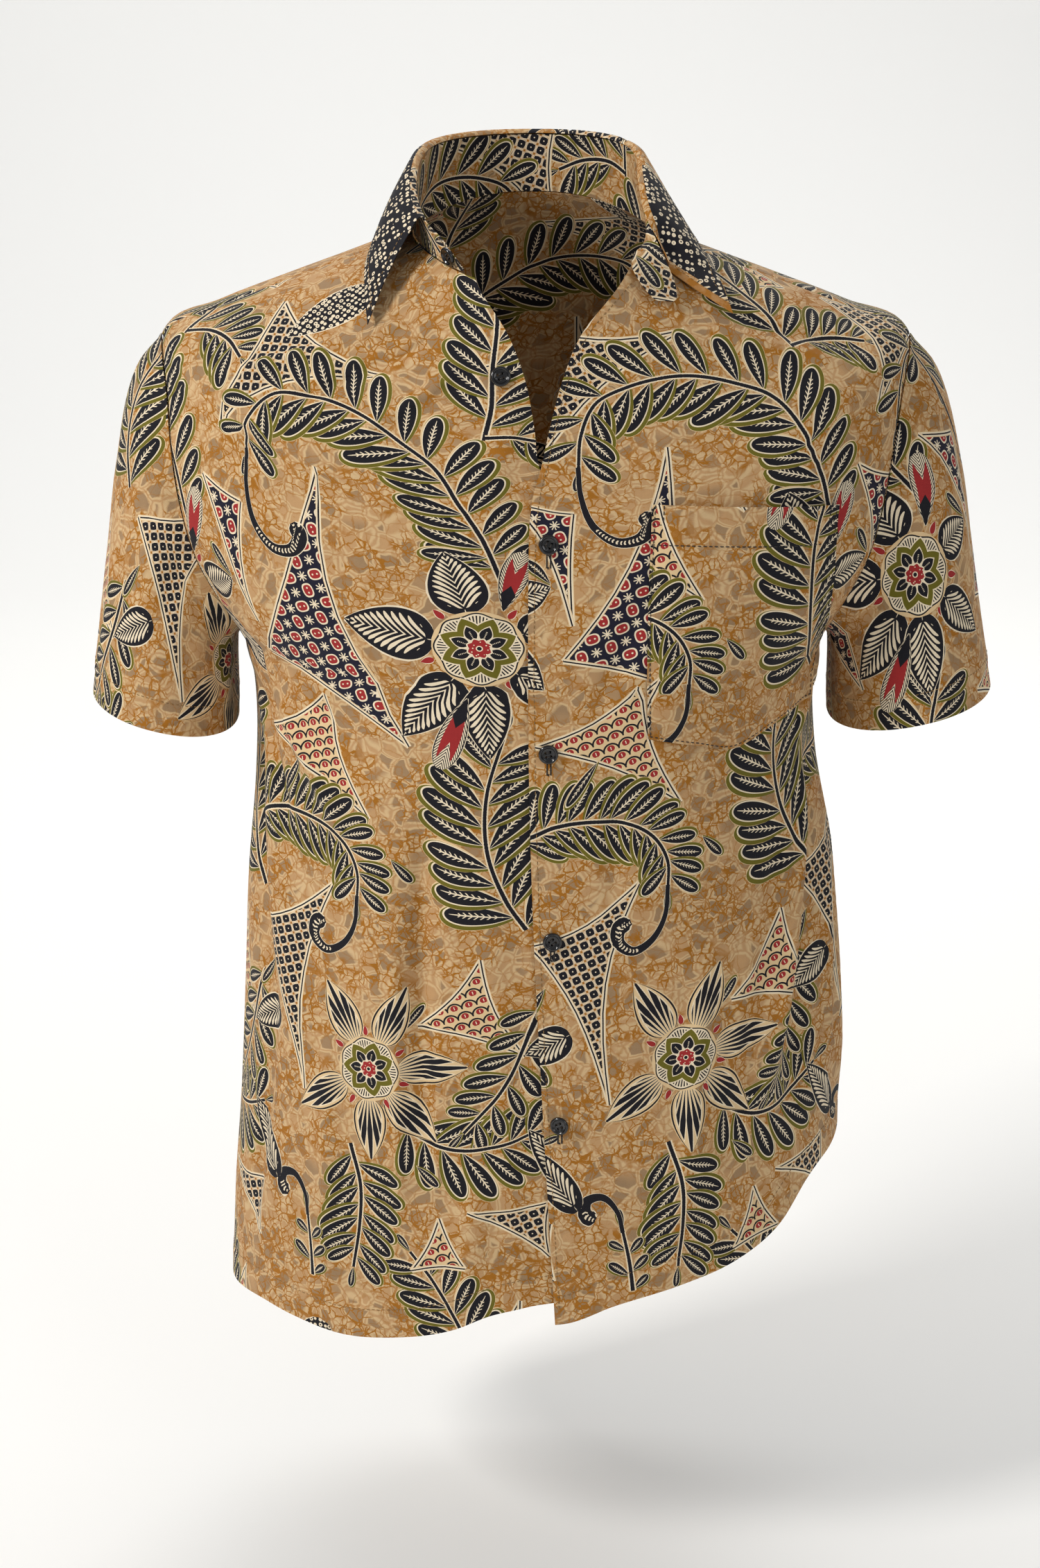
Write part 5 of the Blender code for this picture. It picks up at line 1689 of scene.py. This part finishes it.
def thread_bar(bm, start, end, width, high):
    """Bundle of thread that runs out of one hole, over the button and into another."""
    a, b = Vector(start), Vector(end)
    run = (b - a).normalized()
    side = run.cross(Vector((0.0, 0.0, 1.0)))
    rings = []
    for share, lift, girth in BAR_SHAPE:
        middle = a.lerp(b, share) + Vector((0.0, 0.0, lift * high))
        ring = []
        for k in range(10):
            turn = 2.0 * math.pi * k / 10.0
            ring.append(bm.verts.new(middle + side * math.cos(turn) * width * girth
                                     + Vector((0.0, 0.0, math.sin(turn) * width * 0.7 * girth))))
        rings.append(ring)
    for low, top in zip(rings, rings[1:]):
        for k in range(10):
            bm.faces.new((low[k], low[(k + 1) % 10], top[(k + 1) % 10], top[k]))
    bm.faces.new(rings[0][::-1])
    bm.faces.new(rings[-1])


def set_button(name, middle, outward, turn):
    """Puts a detailed button and its thread where a CAD button sits."""
    axis = Vector(outward).normalized()
    place = Matrix.Translation(Vector(middle)) @ axis.to_track_quat("Z", "Y").to_matrix().to_4x4()
    bm = button_mesh(turn)
    bm.transform(place)
    mesh = bpy.data.meshes.new(name + "_polished")
    bm.to_mesh(mesh)
    bm.free()
    mesh.materials.append(BLACK_POLYESTER)
    obj = on_garment(name + "_polished", mesh)
    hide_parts(name)
    bm = bmesh.new()
    reach = HOLE_APART * MM / math.sqrt(2.0)
    floor_z = 0.60 * BUTTON_THICK * MM
    for pair in ((0, 1), (3, 2)):
        ends = []
        for k in pair:
            a = turn + math.radians(45.0 + 90.0 * k)
            ends.append((reach * math.cos(a), reach * math.sin(a), floor_z))
        thread_bar(bm, ends[0], ends[1], 0.42 * MM, 0.6 * MM)
    bmesh.ops.create_cone(bm, cap_ends=True, segments=14, radius1=1.5 * MM, radius2=1.2 * MM, depth=1.6 * MM,
                          matrix=Matrix.Translation((0.0, 0.0, -0.6 * MM)))
    bm.transform(place)
    for face in bm.faces:
        face.smooth = True
    mesh = bpy.data.meshes.new(name + "_thread")
    bm.to_mesh(mesh)
    bm.free()
    mesh.materials.append(DARK_THREAD)
    thread = on_garment(name + "_thread", mesh)


# Cloth pieces.
BODY_LEVELS = np.concatenate((np.linspace(0.0, 7.0, 36)[:-1], np.linspace(7.0, 8.0, 42)))


def from_front(p):
    """Place of worn points as seen from the front."""
    return p[..., [0, 2]]


def from_back(p):
    """Place of worn points as seen from behind."""
    return p[..., [0, 2]] * (-1.0, 1.0)


def from_left(p):
    """Place of worn points as seen from the wearer's left."""
    return p[..., [1, 2]]


def from_right(p):
    """Place of worn points as seen from the wearer's right."""
    return p[..., [1, 2]] * (-1.0, 1.0)


def middle_of_front(p):
    """Points of a front that face the viewer."""
    return (np.abs(p[..., 0]) < 90.0) & (p[..., 2] > -500.0) & (p[..., 2] < -150.0)


def near_middle(p):
    """Points near the piece's middle line."""
    keep = np.zeros(p.shape[:2], bool)
    n = p.shape[1]
    keep[:, n // 3:n - n // 3] = True
    return keep


SURFACES = {
    "front_right": front_surface(-1.0), "front_left": front_surface(1.0), "back": back_surface(),
    "sleeve_right": sleeve_surface(-1.0), "sleeve_left": sleeve_surface(1.0),
    "collar_stand": stand_surface, "collar_fall": fall_surface, "pocket_left": pocket_surface(),
}

# How each piece is cut: count of measures across, measures down, the side it is seen from, the part lined up
# with that view, its shift on the print, whether its pattern starts from the foot, its hems and the step
# between the points inside it.
FOOT_HEM = (("foot", HEM_WIDTH),)
FRONT_HEMS = (("foot", HEM_WIDTH), ("first", 3.0))
SLEEVE_RUNS = np.linspace(0.0, 1.0, 33)
CUTS = (
    ("front_right", 34, BODY_LEVELS, from_front, middle_of_front, (190.0, 6.0), False, FOOT_HEM, 5.5),
    ("front_left", 34, BODY_LEVELS, from_front, middle_of_front, (0.0, -7.0), True, FRONT_HEMS, 5.5),
    ("back", 61, BODY_LEVELS, from_back, near_middle, (95.0, -40.0), True, FOOT_HEM, 7.0),
    ("sleeve_right", 73, SLEEVE_RUNS, from_right, near_middle, (120.0, -250.0), True, FOOT_HEM, 6.0),
    ("sleeve_left", 73, SLEEVE_RUNS, from_left, near_middle, (60.0, -20.0), True, FOOT_HEM, 6.0),
    ("collar_stand", 81, np.linspace(0.0, 1.0, 9), from_back, near_middle, (20.0, -80.0), False, (), 5.0),
    ("collar_fall", 73, np.linspace(0.0, 1.0, 21), from_back, near_middle, (70.0, -470.0), False, (), 4.5),
    ("pocket_left", 25, np.linspace(0.0, 1.0, 31), from_front, near_middle, (-5.0, -135.0), False, (), 4.5),
)

# Fillings on the collar's points: kind, then share across from and to, and share down from and to.
PATCHES = {
    "collar_fall": (("dotted", 0.74, 0.965, 0.10, 1.0), ("plain_ochre", 0.965, 1.0, 0.10, 1.0),
                    ("dotted", 0.0, 0.26, 0.10, 1.0)),
}
for name, columns, down, facing, chosen, shift, from_foot, hems, spacing in CUTS:
    cloth_piece(name + "_cloth", SURFACES[name], np.linspace(0.0, 1.0, columns), down, facing, chosen, shift,
                from_foot, hems, spacing, PATCHES.get(name, ()))
    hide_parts(name)

# Rows of stitches: hems, front edge, pocket and collar.
for name in ("front_right", "front_left", "back", "sleeve_right", "sleeve_left"):
    sewn(name + "_hem_stitches", name + "_cloth", [beside(name + "_cloth", "foot", HEM_WIDTH)], TAN_THREAD)
edge_line = beside("front_left_cloth", "first", 3.0, 0.03, 0.99)
sewn("front_edge_stitches", "front_left_cloth", [edge_line], TAN_THREAD)
pocket_lines = [beside("pocket_left_cloth", edge, 1.6) for edge in ("first", "foot", "last")]
pocket_lines.append(beside("pocket_left_cloth", "top", 23.0))
pocket_lines += [beside("pocket_left_cloth", edge, 6.5, 0.0, 0.085) for edge in ("first", "last")]
sewn("pocket_stitches", "pocket_left_cloth", pocket_lines, DARK_THREAD, thick=0.34)
for end in (0.0, 1.0):
    line = beside("pocket_left_cloth", "top", 11.5, 0.94 * end, 0.06 + 0.94 * end)
    sewn("pocket_corner_stitches_%d" % int(end), "pocket_left_cloth", [line], DARK_THREAD)
stand_lines = [beside("collar_stand_cloth", edge, 1.8, 0.01, 0.99) for edge in ("top", "foot")]
sewn("stand_stitches", "collar_stand_cloth", stand_lines, TAN_THREAD)
fall_lines = [beside("collar_fall_cloth", "foot", 5.0, 0.012, 0.988)]
fall_lines += [beside("collar_fall_cloth", edge, 5.0, 0.20, 0.92) for edge in ("first", "last")]
sewn("fall_stitches", "collar_fall_cloth", fall_lines, TAN_THREAD)


LOOSE_THREAD_RADIUS = 0.16


def loose_thread(name, points):
    """End of thread that stands off the cloth's edge, through the places given."""
    keys = np.linspace(0.0, 1.0, len(points))
    t = np.linspace(0.0, 1.0, 13)
    path = np.stack([smooth(keys, [p[i] for p in points], t) for i in range(3)], axis=-1)
    run = unit(np.gradient(path, axis=0))
    side = unit(np.cross(run, (0.0, 0.3, 1.0)))
    up = np.cross(side, run)
    turns = np.arange(STITCH_SIDES) * 2.0 * math.pi / STITCH_SIDES
    round_it = side[:, None] * np.cos(turns)[:, None] + up[:, None] * np.sin(turns)[:, None]
    rings = path[:, None] + LOOSE_THREAD_RADIUS * round_it
    mesh = bpy.data.meshes.new(name)
    mesh.from_pydata((rings.reshape(-1, 3) * MM).tolist(), [], tube_faces(len(path), STITCH_SIDES))
    mesh.materials.append(DARK_THREAD)
    obj = on_garment(name, mesh)


# Ends of thread at the left front's edge, by height.
edge_levels = np.linspace(3.0, 0.0, 200)
edge_heights = SURFACES["front_left"](np.zeros(200), edge_levels)[:, 2]
for i, height in enumerate((-70.0, -78.0, -31.0)):
    level = np.interp(height, edge_heights, edge_levels)
    x, y, z = SURFACES["front_left"](np.array(0.004), level)
    loose_thread("loose_thread_%d" % i, ((x + 1.0, y - 0.4, z), (x - 1.5, y - 1.6, z - 0.6),
                                         (x - 4.0, y - 1.8, z - 2.6 - i), (x - 4.6, y - 1.2, z - 6.4)))


def buttonhole(name, x, z, length):
    """Upright buttonhole in the left front: two close rows of thread, a bar at each end and the slit."""
    lines = []
    for side in (-1.0, 1.0):
        for step in np.arange(-0.5 * length, 0.5 * length, 0.62):
            a = (x + side * 0.25, z + step)
            b = (x + side * 1.95, z + step)
            lines.append(np.array((a, b)))
    for end in (-1.0, 1.0):
        for step in (-0.2, 0.5):
            height = z + end * (0.5 * length + step)
            lines.append(np.array(((x - 1.3, height), (x + 1.3, height))))
    sewn(name, "front_left_cloth:seen", lines, DARK_THREAD, length=1.35, pitch=5.0, thick=0.30)


for i, (x, z) in enumerate(BUTTONS[1:]):
    buttonhole("buttonhole_%d" % (i + 2), x, z - 5.5, 15.0)

# Buttons; the lowest one tilts a little.
angles, levels = np.meshgrid(np.linspace(-20.0, 15.0, 141), np.linspace(0.5, 8.0, 1501))
found = body(angles, levels)
TURNS = (0.35, 1.1, 0.2, 0.7, 0.5)
for i, (x, z) in enumerate(BUTTONS):
    k = np.argmin((found[..., 0] - x) ** 2 + (found[..., 2] - z) ** 2)
    angle, level = angles.ravel()[k], levels.ravel()[k]
    outward = body_normal(np.array(angle), np.array(level))
    middle = found.reshape(-1, 3)[k] + outward * 0.9
    if i == 4:
        outward = unit(outward + np.array((-0.35, 0.0, 0.0)))
        middle = middle + outward * 0.6
    set_button("button_%d" % (i + 1), middle * MM, outward, TURNS[i])
outward = stand_outward(np.array(COLLAR_BUTTON_STATION))
middle = stand_place(np.array(COLLAR_BUTTON_STATION), np.array(0.5)) + outward * 0.8
set_button("button_collar", middle * MM, outward, 0.9)


# Floor and light, in metres. The floor rises behind in a quarter round.
FLOOR = -0.86
HALF_FLOOR = 9.0
BEND_START = 2.6
BEND_RADIUS = 1.6
sweep = [(-7.0, FLOOR), (BEND_START, FLOOR)]
sweep += [(BEND_START + BEND_RADIUS * math.sin(math.radians(a)),
           FLOOR + BEND_RADIUS - BEND_RADIUS * math.cos(math.radians(a))) for a in range(6, 91, 6)]
sweep.append((BEND_START + BEND_RADIUS, 6.0))
bm = bmesh.new()
line = [bm.verts.new((-HALF_FLOOR, y, z)) for y, z in sweep]
edges = [bm.edges.new(pair) for pair in zip(line, line[1:])]
grown = bmesh.ops.extrude_edge_only(bm, edges=edges)
moved = [v for v in grown["geom"] if isinstance(v, bmesh.types.BMVert)]
bmesh.ops.translate(bm, verts=moved, vec=(2.0 * HALF_FLOOR, 0.0, 0.0))
for face in bm.faces:
    face.smooth = True
stage_mesh = bpy.data.meshes.new("backdrop")
bm.to_mesh(stage_mesh)
bm.free()
floor = bpy.data.objects.new("backdrop", stage_mesh)
bpy.context.scene.collection.objects.link(floor)
paper = bpy.data.materials.new("matt_studio_floor")
paper.use_nodes = True
paper.node_tree.nodes["Principled BSDF"].inputs["Base Color"].default_value = linear("#f4f3f0")
paper.node_tree.nodes["Principled BSDF"].inputs["Roughness"].default_value = 0.9
stage_mesh.materials.append(paper)

world = bpy.data.worlds.new("studio")
world.use_nodes = True
world.node_tree.nodes["Background"].inputs["Color"].default_value = (0.95, 0.97, 1.0, 1.0)
world.node_tree.nodes["Background"].inputs["Strength"].default_value = 0.36
bpy.context.scene.world = world


def area_light(name, place, aim, size, power, colour=(1.0, 1.0, 1.0)):
    """Soft square light, aimed at a point."""
    data = bpy.data.lights.new(name, "AREA")
    data.size = size
    data.energy = power
    data.color = colour
    light = bpy.data.objects.new(name, data)
    light.location = place
    light.rotation_euler = (Vector(aim) - Vector(place)).to_track_quat("-Z", "Y").to_euler()
    bpy.context.scene.collection.objects.link(light)


area_light("key_soft", (-1.9, -1.2, 1.2), (0.0, 0.0, -0.35), 0.6, 46.0, (1.0, 0.98, 0.96))
area_light("fill_soft", (1.6, -2.4, 0.9), (0.0, 0.0, -0.35), 1.4, 12.0)
area_light("rear_soft", (0.6, 2.2, 1.9), (0.0, 0.0, -0.2), 1.8, 25.0)
area_light("backdrop_soft", (0.0, 1.4, 2.6), (0.0, 4.2, 0.4), 3.0, 65.0)

camera_data = bpy.data.cameras.new("photo_camera")
camera_data.lens = 65.34
camera_data.sensor_width = 36.0
camera_data.sensor_fit = "AUTO"
camera = bpy.data.objects.new("photo_camera", camera_data)
camera.location = (-0.008, -1.7167, 0.1913)
camera.rotation_euler = (math.radians(72.5), 0.0, 0.0)
bpy.context.scene.collection.objects.link(camera)
bpy.context.scene.camera = camera
bpy.context.scene.view_settings.view_transform = "Standard"
